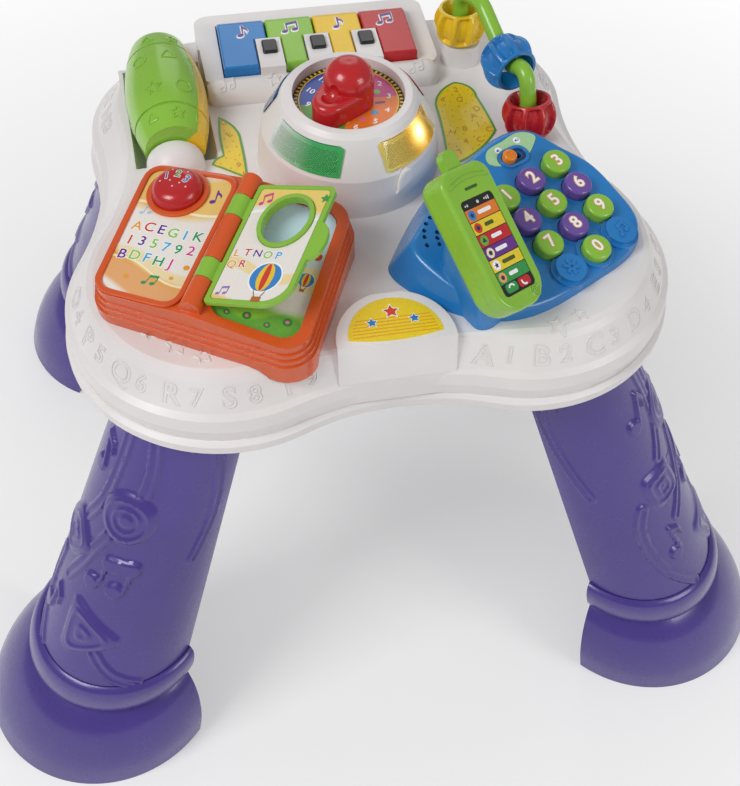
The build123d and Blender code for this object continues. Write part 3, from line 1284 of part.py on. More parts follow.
def key_side(x):
    """Side profile of a piano key at a distance along the keyboard: y, z."""
    pin_y, pin_z = PIANO_PIN
    low = PIANO_KEY_LOW
    drop = PIANO_ROUND
    with BuildSketch(Plane.YZ.offset(x)) as section:
        with BuildLine():
            Line((PIANO_FRONT, pin_z), (PIANO_FRONT, PIANO_TOP))
            Line((PIANO_FRONT, PIANO_TOP), (PIANO_BACK - drop, PIANO_TOP))
            ThreePointArc((PIANO_BACK - drop, PIANO_TOP), (PIANO_BACK - 0.29 * drop, PIANO_TOP - 0.29 * drop),
                          (PIANO_BACK, PIANO_TOP - drop))
            Line((PIANO_BACK, PIANO_TOP - drop), (PIANO_BACK, low))
            Line((PIANO_BACK, low), (pin_y + PIANO_BARREL_R, low))
            Line((pin_y + PIANO_BARREL_R, low), (pin_y + PIANO_BARREL_R, pin_z))
            bottom = (pin_y, pin_z - PIANO_BARREL_R)
            ThreePointArc((pin_y + PIANO_BARREL_R, pin_z), bottom, (PIANO_FRONT, pin_z))
        make_face()
    return section.sketch


def notch(x):
    """Space for the white frame of a black pad between two keys."""
    width, back, low, _ = BLACK_FRAME
    with BuildSketch(Plane.XY.offset(low - PIANO_GAP)) as section:
        with Locations((x, (PIANO_BLOCK[1] + back + PIANO_GAP) / 2)):
            Rectangle(width + 2 * PIANO_GAP, back + PIANO_GAP - PIANO_BLOCK[1])
    return extrude(section.sketch, amount=BLACK_CUT, mode=Mode.PRIVATE)


for number, colour in enumerate(PIANO_COLOURS):
    x = PIANO_X + (number - 1.5) * PIANO_PITCH
    with BuildPart() as piano_key:
        extrude(key_side(x - KEY_W / 2), amount=KEY_W)
        inner = KEY_W - 2 * PIANO_KEY_WALL
        with BuildSketch(Plane.YZ.offset(x - inner / 2)):
            y_low = BLACK_FRAME[1] + 2 * PIANO_KEY_WALL
            y_high = PIANO_BACK - PIANO_KEY_WALL
            with Locations(((y_low + y_high) / 2, (PIANO_TOP + PIANO_KEY_LOW) / 2 - PIANO_KEY_WALL)):
                Rectangle(y_high - y_low, PIANO_TOP - PIANO_KEY_LOW)
        extrude(amount=inner, mode=Mode.SUBTRACT)
        with BuildSketch(Plane.XY.offset(PIANO_KEY_LOW)):
            with Locations((x, PIANO_DOME_Y)):
                Rectangle(inner + PAST, PIANO_KEY_WALL)
        extrude(amount=PIANO_TOP - PIANO_KEY_LOW - PIANO_KEY_WALL)
        for side in (number - 1, number):
            if 0 <= side < 3:
                add(notch(PIANO_X + (side - 1) * PIANO_PITCH), mode=Mode.SUBTRACT)
        with BuildSketch(Plane.YZ.offset(x - KEY_W)):
            with Locations(PIANO_PIN):
                Circle(PIANO_PIN_R + PIN_RUN)
        extrude(amount=2 * KEY_W, mode=Mode.SUBTRACT)
        top_edges = piano_key.faces().sort_by(Axis.Z)[-1].edges()
        fillet(top_edges, PIANO_EDGE)
    finish(piano_key, "piano_key_" + colour)

with BuildPart() as piano_axle:
    with BuildSketch(Plane.YZ.offset(PIANO_X - PIANO_AXLE_HALF + FIT)):
        with Locations(PIANO_PIN):
            Circle(PIANO_PIN_R)
    extrude(amount=2 * (PIANO_AXLE_HALF - FIT))
finish(piano_axle, "piano_axle")

with BuildPart() as black_keys:
    width, length, height = BLACK_PAD
    for number in range(3):
        plane = Plane.XY.offset(BLACK_FRAME[3])
        with BuildSketch(plane):
            with Locations((PIANO_X + (number - 1) * PIANO_PITCH, BLACK_PAD_Y)):
                RectangleRounded(width, length, BLACK_CORNER)
        extrude(amount=height)
    fillet(black_keys.faces().filter_by(Axis.Z).sort_by(Axis.Z)[-3:].edges(), BLACK_EDGE)
finish(black_keys, "black_keys")

with BuildPart() as rubber_domes:
    button_low = BUTTON_SEAT - FIT / 2 - BUTTON_FLANGE[1]
    spring_r, spring_len = BUTTON_SPRING
    extrude(button_face(spring_r, button_low - BUTTON_TRAVEL - FIT - spring_len), amount=spring_len)
    split(bisect_by=Plane.XY.offset(DECK_Z), keep=Keep.TOP)
    dip = (PIANO_DOME_Y - PIANO_PIN[0]) * sin(radians(PIANO_DIP))
    for number in range(len(PIANO_COLOURS)):
        with BuildSketch(Plane.XY.offset(PIANO_WELL_LOW + WALL)):
            with Locations((PIANO_X + (number - 1.5) * PIANO_PITCH, PIANO_DOME_Y)):
                Circle(PIANO_DOME[0])
        extrude(amount=PIANO_KEY_LOW - dip - FIT - PIANO_WELL_LOW - WALL, taper=PIANO_DOME[1])
finish(rubber_domes, "rubber_domes")


# Bead wire and beads

with BuildPart() as bead_wire:
    add(wire_tube(WIRE_R))
finish(bead_wire, "bead_wire")

for name, across, up, turn in BEADS:
    c, s = along(turn)
    axis_dir = (wire_dir[0] * c, wire_dir[1] * c, s)
    bead_plane = Plane(origin=on_wire(across, up), x_dir=wire_plane.z_dir, z_dir=axis_dir)
    with BuildPart() as bead:
        profile_plane = Plane(origin=bead_plane.origin, x_dir=bead_plane.x_dir, z_dir=-bead_plane.y_dir)
        with BuildSketch(profile_plane):
            with BuildLine():
                ThreePointArc((BEAD_FACE_R, -BEAD_HALF), (BEAD_R, 0), (BEAD_FACE_R, BEAD_HALF))
                Polyline((BEAD_FACE_R, BEAD_HALF), (BEAD_BORE[1], BEAD_HALF), (BEAD_BORE[0], 0),
                         (BEAD_BORE[1], -BEAD_HALF), (BEAD_FACE_R, -BEAD_HALF))
            make_face()
        revolve(axis=Axis(bead_plane.origin, bead_plane.z_dir))
        with BuildSketch(bead_plane.offset(-BEAD_HALF - PAST)):
            with PolarLocations(BEAD_R + BEAD_FLUTE_OUT, BEAD_FLUTES):
                Circle(BEAD_FLUTE_R)
        extrude(amount=2 * (BEAD_HALF + PAST), mode=Mode.SUBTRACT)
    finish(bead, name)


# Labels on the shell

with BuildPart() as plate_label:
    top = sorted(PLATE_PROFILE, key=lambda point: point[1])[-2:]
    (y0, z0), (y1, z1) = sorted(top)
    lean = Plane(origin=(0, y0, z0), x_dir=(1, 0, 0), z_dir=(0, z0 - z1, y1 - y0))
    with BuildSketch(lean):
        with BuildLine():
            half, end, high, low = PLATE_ARC
            ThreePointArc((-half, end), (0, high), (half, end))
            ThreePointArc((half, end), (0, low), (-half, end))
        make_face()
    extrude(amount=LABEL_T)
finish(plate_label, "plate_label")

with BuildPart() as deck_labels:
    for outline in DECK_LABELS:
        extrude(arc_face(Plane.XY.offset(DECK_Z), outline), amount=LABEL_T)
finish(deck_labels, "deck_labels")


# Battery bay and fasteners

with BuildPart() as battery_door:
    with BuildSketch(Plane.XY.offset(RIM_BOTTOM)):
        with Locations(BAY_AT):
            RectangleRounded(BAY[0] + 2 * (DOOR_LIP - FIT), BAY[1] + 2 * (DOOR_LIP - FIT), DOOR_LIP / 2)
    extrude(amount=DOOR_T)
    with Locations(Plane(origin=(*DOOR_SCREW, RIM_BOTTOM), z_dir=(0, 0, -1))):
        CounterBoreHole(SCREW_R + HEAD_ROOM, SCREW_HEAD[0] + FIT, DOOR_T / 2)
finish(battery_door, "battery_door")

with BuildPart() as door_screw:
    with BuildSketch(Plane.XY.offset(RIM_BOTTOM + DOOR_SCREW_SINK)):
        with Locations(DOOR_SCREW):
            Circle(SCREW_HEAD[0])
    extrude(amount=DOOR_T / 2 - DOOR_SCREW_SINK)
    with BuildSketch(Plane.XY.offset(RIM_BOTTOM + DOOR_SCREW_SINK)):
        with Locations(DOOR_SCREW):
            Circle(SCREW_R)
    extrude(amount=DOOR_SCREW_LEN)
finish(door_screw, "door_screw")

with BuildPart() as batteries:
    for number in range(CELLS):
        x = BAY_AT[0] + (number - (CELLS - 1) / 2) * (2 * CELL_R + CELL_GAP)
        front = BAY_AT[1] + BAY[1] / 2 - CELL_LEN - CELL_GAP
        centre_z = RIM_BOTTOM + DOOR_T + FIT + CELL_R
        with BuildSketch(Plane(origin=(x, front, centre_z), z_dir=(0, 1, 0))):
            Circle(CELL_R)
        extrude(amount=CELL_LEN - CELL_TIP[1])
        with BuildSketch(Plane(origin=(x, front, centre_z), z_dir=(0, 1, 0))):
            Circle(CELL_TIP[0])
        extrude(amount=CELL_LEN)
finish(batteries, "batteries")

with BuildPart() as housing_screws:
    head_z = RIM_BOTTOM + SCREW_HEAD[1] + SCREW_SINK
    for x, y, _ in SCREW_SPOTS:
        with BuildSketch(Plane.XY.offset(head_z - SCREW_HEAD[1])):
            with Locations((x, y)):
                Circle(SCREW_HEAD[0])
        extrude(amount=SCREW_HEAD[1])
        with BuildSketch(Plane.XY.offset(head_z)):
            with Locations((x, y)):
                Circle(SCREW_R)
        extrude(amount=SCREW_LEN)
finish(housing_screws, "housing_screws")
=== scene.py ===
"""Looks of the activity table: finishes, prints, raised ornaments, light and camera.

Every moulded piece comes from the CAD frame. Places are written in millimetres in the row frame.
"""

import random
from math import acos, atan2, cos, degrees, exp, hypot, log, pi, radians, sin, sqrt

import bmesh
import bpy
from mathutils import Matrix, Vector
from mathutils.bvhtree import BVHTree


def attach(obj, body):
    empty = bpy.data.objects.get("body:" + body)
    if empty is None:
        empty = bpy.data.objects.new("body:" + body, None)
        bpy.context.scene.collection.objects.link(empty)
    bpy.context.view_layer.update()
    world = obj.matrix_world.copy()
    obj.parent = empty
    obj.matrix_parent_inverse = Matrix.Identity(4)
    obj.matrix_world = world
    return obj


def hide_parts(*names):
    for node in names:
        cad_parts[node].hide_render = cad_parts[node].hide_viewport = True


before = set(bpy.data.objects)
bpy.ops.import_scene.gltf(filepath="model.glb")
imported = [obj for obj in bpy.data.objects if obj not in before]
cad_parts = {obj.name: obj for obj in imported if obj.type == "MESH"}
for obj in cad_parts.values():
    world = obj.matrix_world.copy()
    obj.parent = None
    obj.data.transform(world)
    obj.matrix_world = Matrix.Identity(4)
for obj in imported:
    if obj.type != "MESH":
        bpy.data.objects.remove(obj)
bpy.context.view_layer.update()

MM = 0.001
RAY = 60.0               # raised shapes are dropped onto a surface from this far out
INK = 0.08               # thickness of a printed layer
SECOND = 0.08            # height at which a second printed layer starts
THIRD = 0.14             # and a third one
RAISED = -0.3            # some raised shapes start this far inside the plastic
SHARP = 38.0             # an edge between faces that meet at more than this isn't smoothed

# Colours as sRGB hex
WHITE = "E9E5E4"
PURPLE = "46348B"
ORANGE = "DC581C"
GREEN = "8CC23C"
DARK_GREEN = "3C9A45"
BLUE = "1F7CC4"
RED = "C01C22"
YELLOW = "EEC51B"
KEY_PURPLE = "6E4FA3"
SWITCH_ORANGE = "F08A1A"
CREAM = "F1EBE4"
PINK = "D8368F"
BLACK = "141416"
TAN = "E2A463"


# Planes of the CAD model, x and y along their faces

def matrix_of(x, y, z, origin):
    """Matrix with these three axes and this origin."""
    made = Matrix((x, y, z)).transposed().to_4x4()
    made.translation = origin
    return made


def frame_of(origin, x_axis, z_axis):
    """Matrix of a plane, from its origin, x axis and normal."""
    z = Vector(z_axis).normalized()
    x = Vector(x_axis)
    x = (x - z * x.dot(z)).normalized()
    return matrix_of(x, z.cross(x), z, origin)


def along(angle):
    """Unit direction in the XY plane."""
    return Vector((cos(radians(angle)), sin(radians(angle)), 0))


def tilted(origin, turn, tilt):
    """Plane turned about Z whose y axis rises by tilt degrees."""
    y = along(turn + 90.0)
    return frame_of(origin, along(turn), Vector((0, 0, cos(radians(tilt)))) - y * sin(radians(tilt)))


def rolled(plane, angle):
    """Plane turned about its own y axis."""
    return plane @ Matrix.Rotation(radians(angle), 4, "Y")


def moved(plane, x=0.0, y=0.0, z=0.0, turn=0.0):
    """Plane moved along its own axes, then turned about its normal."""
    return plane @ Matrix.Translation((x, y, z)) @ Matrix.Rotation(radians(turn), 4, "Z")


book = tilted((-80.0, -94.5, 337.0), -28.3, 5.2)
left_page = rolled(book, -5.0)
right_page = rolled(book, 5.0)
turning_page = rolled(moved(book, z=1.6), -17.0)
phone = tilted((98.5, -81.8, 329.0), 33.0, 12.0)
phone_top = moved(phone, z=-6.0)
handset = rolled(tilted((52.8, -129.5, 352.0), 24.0, 35.0), 15.0)
clock = frame_of((0.0, -6.0, 347.0), (1, 0, 0), (0, 0, 1))
roller_axis = Vector((-sin(radians(2.0)), cos(radians(2.0)), 0))
roller_middle = Vector((-98.5, 46.0, 317.0))
plate = frame_of((0.0, -151.5, 312.0), (1, 0, 0), (0, -1.5, 32.5))


# Finishes

def linear(colour):
    """Linear colour of an sRGB hex string."""
    parts = [int(colour[i:i + 2], 16) / 255 for i in (0, 2, 4)]
    return tuple(c / 12.92 if c < 0.04045 else ((c + 0.055) / 1.055) ** 2.4 for c in parts)


def shade(colour, factor=1.0):
    """A lighter or darker version of a linear colour, with full alpha."""
    return (*[min(c * factor, 1.0) for c in colour], 1.0)


class Nodes:
    """Short ways to add nodes to a tree."""

    def __init__(self, tree):
        self.tree = tree

    def node(self, kind, **settings):
        made = self.tree.nodes.new(kind)
        for key, value in settings.items():
            setattr(made, key, value)
        return made

    def link(self, start, end):
        self.tree.links.new(start, end)

    def feed(self, socket, value):
        """Sets an input to a value, or links an output to it."""
        if isinstance(value, bpy.types.NodeSocket):
            self.link(value, socket)
        else:
            socket.default_value = value

    def fill(self, node, **values):
        """Feeds inputs by their names, with underscores for the spaces."""
        for name, value in values.items():
            self.feed(node.inputs[name.replace("_", " ")], value)
        return node

    def span(self, value, low, high, out_low=0.0, out_high=1.0):
        """Carries the range from low to high over to another range."""
        made = self.fill(self.node("ShaderNodeMapRange"), Value=value, From_Min=low, From_Max=high,
                         To_Min=out_low, To_Max=out_high)
        return made.outputs["Result"]

    def math(self, operation, *values, kind="ShaderNodeMath", output=0):
        made = self.node(kind, operation=operation)
        for socket, value in zip(made.inputs, values):
            self.feed(socket, value)
        return made.outputs[output]

    def vector(self, operation, *values, output=0):
        return self.math(operation, *values, kind="ShaderNodeVectorMath", output=output)


class Finish(Nodes):
    """A material that is built up from nodes, in the object's own coordinates."""

    def __init__(self, name):
        self.material = bpy.data.materials.new(name)
        self.material.use_nodes = True
        super().__init__(self.material.node_tree)
        self.shader = self.tree.nodes["Principled BSDF"]
        self.place = self.node("ShaderNodeTexCoord").outputs["Object"]

    def noise(self, scale, detail=3.0):
        made = self.fill(self.node("ShaderNodeTexNoise"), Scale=scale, Detail=detail, Vector=self.place)
        return made.outputs["Fac"]

    def blend(self, factor, low, high):
        """Mix of two colours."""
        made = self.node("ShaderNodeMix", data_type="RGBA")
        for place, value in ((0, factor), (6, low), (7, high)):
            self.feed(made.inputs[place], value)
        return made.outputs[2]

    def on_plane(self, plane):
        """Millimetres along the x and y axes of a plane."""
        found = []
        for column in (0, 1):
            axis = plane.col[column].to_3d()
            along_axis = self.vector("DOT_PRODUCT", self.place, axis / MM, output="Value")
            found.append(self.math("SUBTRACT", along_axis, plane.translation.dot(axis)))
        return found

    def edges(self, radius):
        """Mask of the edges, where a paler colour is painted on as a highlight, and the normal softened at
        them.
        """
        bevel = self.fill(self.node("ShaderNodeBevel", samples=8), Radius=radius).outputs["Normal"]
        normal = self.node("ShaderNodeNewGeometry").outputs["Normal"]
        same = self.vector("DOT_PRODUCT", bevel, normal, output="Value")
        mixed = self.node("ShaderNodeMix", data_type="VECTOR")
        for place, value in ((0, self.span(same, 0.97, 0.90)), (4, normal), (5, bevel)):
            self.feed(mixed.inputs[place], value)
        return self.span(same, 0.93, 0.70), mixed.outputs[1]

    def surface(self, scale, depth, normal=None):
        """Fine moulded grain as bump."""
        bump = self.fill(self.node("ShaderNodeBump"), Strength=0.35, Distance=depth,
                         Height=self.noise(scale, 2.0))
        if normal is not None:
            self.link(normal, bump.inputs["Normal"])
        self.link(bump.outputs["Normal"], self.shader.inputs["Normal"])

    def finish(self, tone, rough, coat, gloss_scale, **more):
        """Colour, roughness that drifts between two values, and a clear coat."""
        self.fill(self.shader, Base_Color=tone, Coat_Weight=coat,
                  Roughness=self.span(self.noise(gloss_scale), 0.3, 0.7, *rough), **more)


finishes = {}


def plastic(name, colour, rough=0.26, grain=1100.0, depth=0.00004, coat=0.25, soften=0.0006):
    """Moulded plastic: slow drift of colour and gloss, fine skin, and a painted highlight that makes the
    edges paler.
    """
    if name in finishes:
        return finishes[name]
    made = Finish(name)
    base = linear(colour)
    tone = made.blend(made.span(made.noise(14.0), 0.35, 0.65), shade(base, 0.94), shade(base, 1.05))
    normal = None
    if soften:
        edge_highlight, normal = made.edges(soften)
        # painted highlight: the edges are lightened towards white to stand for the light they catch
        highlight_colour = shade([c + (1.0 - c) * 0.16 for c in base])
        tone = made.blend(made.math("MULTIPLY", edge_highlight, 0.35), tone, highlight_colour)
    made.finish(tone, (rough - 0.04, rough + 0.06), coat, 60.0, Coat_Roughness=0.12)
    made.surface(grain, depth, normal)
    finishes[name] = made.material
    return made.material


def ink(colour, rough=0.3):
    """Printed colour with the slight mottle of a label under a clear film."""
    name = "ink_" + colour
    if name not in finishes:
        made = Finish(name)
        base = linear(colour)
        mottle = made.span(made.noise(900.0, 1.0), 0.35, 0.65)
        tone = made.blend(mottle, shade(base, 0.95), shade(base, 1.04))
        made.finish(tone, (rough - 0.05, rough + 0.05), 0.3, 120.0)
        made.surface(1500.0, 0.00003)
        finishes[name] = made.material
    return finishes[name]


def steel():
    """Drawn steel of the pins and screws."""
    made = Finish("steel")
    streak = made.span(made.noise(700.0), 0.3, 0.7)
    made.fill(made.shader, Metallic=1.0, Roughness=made.span(streak, 0.0, 1.0, 0.22, 0.4),
              Base_Color=made.blend(streak, (0.42, 0.42, 0.44, 1), (0.60, 0.60, 0.62, 1)))
    made.surface(2500.0, 0.00003)
    return made.material


# Soft bands on the pages: colour, middle, slope, swing, wavelength, half width, strength
LEFT_WAVES = (("F0C23A", 34.0, 0.15, 5.0, 90.0, 17.0, 0.85), ("FFF7D8", 20.0, 0.1, 3.0, 70.0, 1.0, 0.9),
              ("F3D98A", -27.0, -0.12, 4.0, 60.0, 6.0, 0.7), ("E89B3C", -40.0, -0.25, 3.0, 80.0, 10.0, 0.85),
              ("FFF3C4", -29.0, -0.12, 4.0, 60.0, 0.7, 0.9))
TURNING_WAVES = (("F2CF3D", 30.0, 0.1, 4.0, 60.0, 12.0, 0.85), ("FFFFFF", 16.0, 0.1, 4.0, 60.0, 1.0, 0.9),
                 ("F4D778", -14.0, -0.15, 3.0, 50.0, 4.0, 0.7), ("F0C23A", -40.0, -0.3, 3.0, 60.0, 8.0, 0.8))
SCENE_WAVES = (("BFE3F2", 30.0, 0.0, 2.0, 50.0, 26.0, 0.9), ("F7E7A6", -6.0, 0.1, 3.0, 70.0, 9.0, 0.9),
               ("8CC83C", -38.0, 0.0, 3.0, 55.0, 17.0, 1.0), ("5FA83A", -44.0, 0.15, 3.0, 35.0, 8.0, 0.9))


def wave(made, plane, rows, tone):
    """Lays soft printed bands over a colour."""
    u, v = made.on_plane(plane)
    for colour, middle, slope, swing, length, half, strength in rows:
        curve = made.math("MULTIPLY", made.math("SINE", made.math("MULTIPLY", u, 2 * pi / length)), swing)
        line = made.math("ADD", made.math("ADD", curve, made.math("MULTIPLY", u, slope)), middle)
        away = made.math("ABSOLUTE", made.math("SUBTRACT", v, line))
        mask = made.math("MULTIPLY", made.span(away, half, half * 0.7), strength)
        tone = made.blend(mask, tone, shade(linear(colour)))
    return tone


def page_paper(name, plane, rows):
    """Printed page: cream with soft bands."""
    made = Finish(name)
    tone = wave(made, plane, rows, shade(linear(CREAM)))
    mottle = made.span(made.noise(700.0, 1.0), 0.3, 0.7, 0.0, 0.06)
    made.finish(made.blend(mottle, tone, (0.5, 0.45, 0.35, 1.0)), (0.24, 0.34), 0.3, 90.0)
    made.surface(1200.0, 0.00004)
    return made.material


LENS_GRID = 1.1          # pitch of the lenses' moulded grid
LENS_R = 44.0            # radius at which places round the lenses are measured
LENS_MIDDLE = 340.6      # height of the grid's middle
DOME_AXIS = (0.0, -0.006, 0.0)
LIT = (6.0, 342.5, 13.0, 2.6)      # place round and up of the lit lamp's glow, its reach and strength


def lens(name, turn, deep, highlight_colour, light=None):
    """Tinted clear plastic with a moulded grid; a painted highlight makes it paler towards one end and
    painted shade darkens its grid, with a lamp's glow where it is lit.
    """
    made = Finish(name)
    deep = linear(deep)
    spin = made.fill(made.node("ShaderNodeVectorRotate", rotation_type="Z_AXIS"), Angle=-radians(turn),
                     Vector=made.vector("SUBTRACT", made.place, DOME_AXIS))
    split = made.fill(made.node("ShaderNodeSeparateXYZ"), Vector=spin.outputs[0])
    around = made.math("MULTIPLY", made.math("ARCTAN2", split.outputs["Y"], split.outputs["X"]), LENS_R)
    height = made.math("MULTIPLY", split.outputs["Z"], 1.0 / MM)
    waves = [made.math("SINE", made.math("MULTIPLY", s, 2 * pi / LENS_GRID)) for s in (around, height)]
    grid = made.math("MULTIPLY", *waves)
    off_middle = made.math("ABSOLUTE", made.math("SUBTRACT", height, LENS_MIDDLE))
    within = made.math("MULTIPLY", made.span(made.math("ABSOLUTE", around), 22.0, 20.0),
                       made.span(off_middle, 6.0, 5.0))
    # painted highlight: the colour turns pale towards one end, where the dome shows a glare
    tone = made.blend(made.span(around, 6.0, -22.0), shade(deep), shade(linear(highlight_colour)))
    # painted shade: the colour darkens along the grid's relief
    grid_shade = made.math("MULTIPLY", made.span(grid, 0.1, 0.8), made.math("MULTIPLY", within, 0.35))
    bump = made.fill(made.node("ShaderNodeBump"), Distance=0.0002, Height=made.math("MULTIPLY", grid, within))
    made.fill(made.shader, Base_Color=made.blend(grid_shade, tone, shade(deep, 0.35)), Roughness=0.12,
              Coat_Weight=0.8, Coat_Roughness=0.03, Transmission_Weight=0.18, Subsurface_Weight=0.25,
              Subsurface_Scale=0.004, Normal=bump.outputs["Normal"])
    if light:
        place_round, place_up, reach, strength = light
        away = [made.math("POWER", made.math("SUBTRACT", value, middle), 2.0)
                for value, middle in ((around, place_round), (height, place_up))]
        spot = made.math("SQRT", made.math("ADD", *away))
        near = made.math("POWER", made.span(spot, reach, 0.0), 2.2)
        made.fill(made.shader, Emission_Color=made.blend(near, shade(deep), (1.0, 0.96, 0.75, 1.0)),
                  Emission_Strength=made.math("MULTIPLY", near, strength))
    return made.material


def paint(material, *nodes):
    """Gives CAD nodes a material."""
    for node in nodes:
        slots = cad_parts[node].data.materials
        slots.clear()
        slots.append(material)


def paint_cad():
    """Finishes of the CAD nodes."""
    green = plastic("green", GREEN)
    paint(plastic("shell_white", WHITE, rough=0.40, grain=1300.0, depth=0.00006, coat=0.08),
          "top_shell", "bottom_shell", "dome", "battery_door")
    paint(plastic("leg_purple", PURPLE, rough=0.30, coat=0.15, soften=0.0012), *LEGS)
    paint(plastic("orange", ORANGE), "book_tray")
    paint(green, "page_frame", "handset_front", "handset_back", "roller_green", "piano_key_green",
          "bead_wire")
    paint(plastic("red", RED, rough=0.22), "clock_knob", "abc_button", "piano_key_red", "bead_red")
    paint(plastic("yellow", YELLOW), "roller_yellow", "piano_key_yellow", "bead_yellow")
    paint(plastic("blue", BLUE, rough=0.22), "phone_base", "piano_key_blue", "bead_blue")
    paint(plastic("switch_orange", SWITCH_ORANGE), "switch_knob")
    paint(plastic("black", BLACK, rough=0.25), "black_keys", "speaker", "leds", "batteries")
    paint(steel(), "door_screw", "housing_screws", "page_hinge_pin", "roller_axle", "piano_axle")
    paint(plastic("rubber", "B9B9B6", rough=0.6, coat=0.0), "keypad_membrane", "rubber_domes")
    paint(plastic("board", "1E6B3A", rough=0.45), "circuit_board")
    paint(ink(BLACK), "handset_screen", "clock_face")
    paint(ink("F2D21E"), "deck_labels", "plate_label")
    paint(ink("A9D3A0"), "switch_label")
    lilac = plastic("key_purple", KEY_PURPLE)
    for number in range(10):
        paint(lilac if number in (2, 4, 6, 8) else green, "key_%d" % number)
    # the pale colour of each lens is the colour of its painted highlight
    for name, turn, deep, highlight_colour, light in (("green", 225.0, "3DBE66", "F2FBF4", None),
                                          ("yellow", 315.0, "F8C41C", "FFE070", LIT),
                                          ("blue", 135.0, "1D4C86", "2E5F9B", None),
                                          ("red", 45.0, "B5161D", "C93038", None)):
        paint(lens("lens_" + name, turn, deep, highlight_colour, light), "lens_" + name)
    paint(page_paper("page_left", left_page, LEFT_WAVES), "book_left_label")
    paint(page_paper("page_turning", turning_page, TURNING_WAVES), "page_print")
    paint(page_paper("page_scene", right_page, SCENE_WAVES), "book_right_label")


# Shapes drawn in millimetres on a plane

def arc(x, y, rx, ry, start, stop, step):
    """Points along part of an ellipse."""
    return [(x + rx * cos(radians(a)), y + ry * sin(radians(a))) for a in range(start, stop, step)]


def circle(x, y, r, ry=None, turn=0.0, count=36):
    """Loop of a circle or ellipse."""
    ry = r if ry is None else ry
    around = [2 * pi * i / count for i in range(count)]
    return placed([(r * cos(a), ry * sin(a)) for a in around], x, y, 1.0, turn)


def sector(r_low, r_high, start, span, count=14):
    """Loop of a ring sector round the plane's origin."""
    angles = [radians(start + span * i / count) for i in range(count + 1)]
    return ([(r_high * cos(a), r_high * sin(a)) for a in angles] +
            [(r_low * cos(a), r_low * sin(a)) for a in reversed(angles)])


def placed(points, x=0.0, y=0.0, size=1.0, turn=0.0):
    """Points scaled, turned and moved."""
    c, s = cos(radians(turn)) * size, sin(radians(turn)) * size
    return [(x + px * c - py * s, y + px * s + py * c) for px, py in points]


def soft_corners(points, radius, count=4):
    """Polygon with its corners rounded."""
    made = []
    for before, corner, after in zip([points[-1], *points], points, [*points[1:], points[0]]):
        p = Vector(corner)
        a = p + (Vector(before) - p).normalized() * radius
        b = p + (Vector(after) - p).normalized() * radius
        for k in range(count + 1):
            t = k / count
            made.append(tuple(a * (1 - t) ** 2 + p * 2 * t * (1 - t) + b * t * t))
    return made


def star(x, y, r, turn=0.0):
    """Loop of a five-pointed star with slightly rounded points."""
    points = []
    for i in range(10):
        reach = r if i % 2 == 0 else r * 0.48
        points.append(tuple((along(90 + turn + 36 * i) * reach).xy + Vector((x, y))))
    return soft_corners(points, r * 0.12, 3)


def box(x, y, width, height, corner=0.0, turn=0.0, count=4):
    """Loop of a rectangle with rounded corners."""
    w, h = width / 2, height / 2
    points = [(-w, -h), (w, -h), (w, h), (-w, h)]
    return placed(soft_corners(points, corner, count) if corner else points, x, y, 1.0, turn)


def triangle(x, y, r, turn=0.0, corner=1.5):
    """Loop of an even triangle with rounded corners."""
    points = [tuple((along(90 + turn + 120 * i) * r).xy) for i in range(3)]
    return placed(soft_corners(points, corner), x, y)


def ribbon(points, width):
    """Loop round an open line of that width."""
    sides = ([], [])
    for i, point in enumerate(points):
        ahead = Vector(points[min(i + 1, len(points) - 1)]) - Vector(points[max(i - 1, 0)])
        out = Vector((-ahead.y, ahead.x)).normalized() * width / 2
        sides[0].append(tuple(Vector(point) + out))
        sides[1].append(tuple(Vector(point) - out))
    return sides[0] + sides[1][::-1]


def note_head(x, y):
    """Tilted oval of a note's head, clockwise and open at its stem."""
    angles = [radians(-5 - 320 * i / 14) for i in range(15)]
    return placed([(1.15 * cos(a), 0.85 * sin(a)) for a in angles], x, y, turn=20.0)


def note(x, y, size, turn=0.0, pair=False):
    """Loop of a single or a paired quaver."""
    if pair:
        points = [*note_head(-1.9, -2.2), (-1.25, 2.4), (2.9, 3.3), (2.9, -1.0),
                  *note_head(1.75, -1.4), (2.35, 1.9), (-0.75, 1.2)]
    else:
        points = [*note_head(-0.6, -2.2), (0.05, 3.2), (0.6, 3.2), (0.9, 2.2), (1.9, 1.5), (2.3, 0.4),
                  (1.9, -0.4), (1.7, 0.6), (0.6, 1.3)]
    return placed(points, x, y, size, turn)


def refine(mesh, step):
    """Splits edges until none is longer than step."""
    for _ in range(7):
        long_edges = [edge for edge in mesh.edges if edge.calc_length() > step]
        if not long_edges:
            return
        bmesh.ops.subdivide_edges(mesh, edges=long_edges, cuts=1)
        bmesh.ops.triangulate(mesh, faces=[face for face in mesh.faces if len(face.verts) > 4])


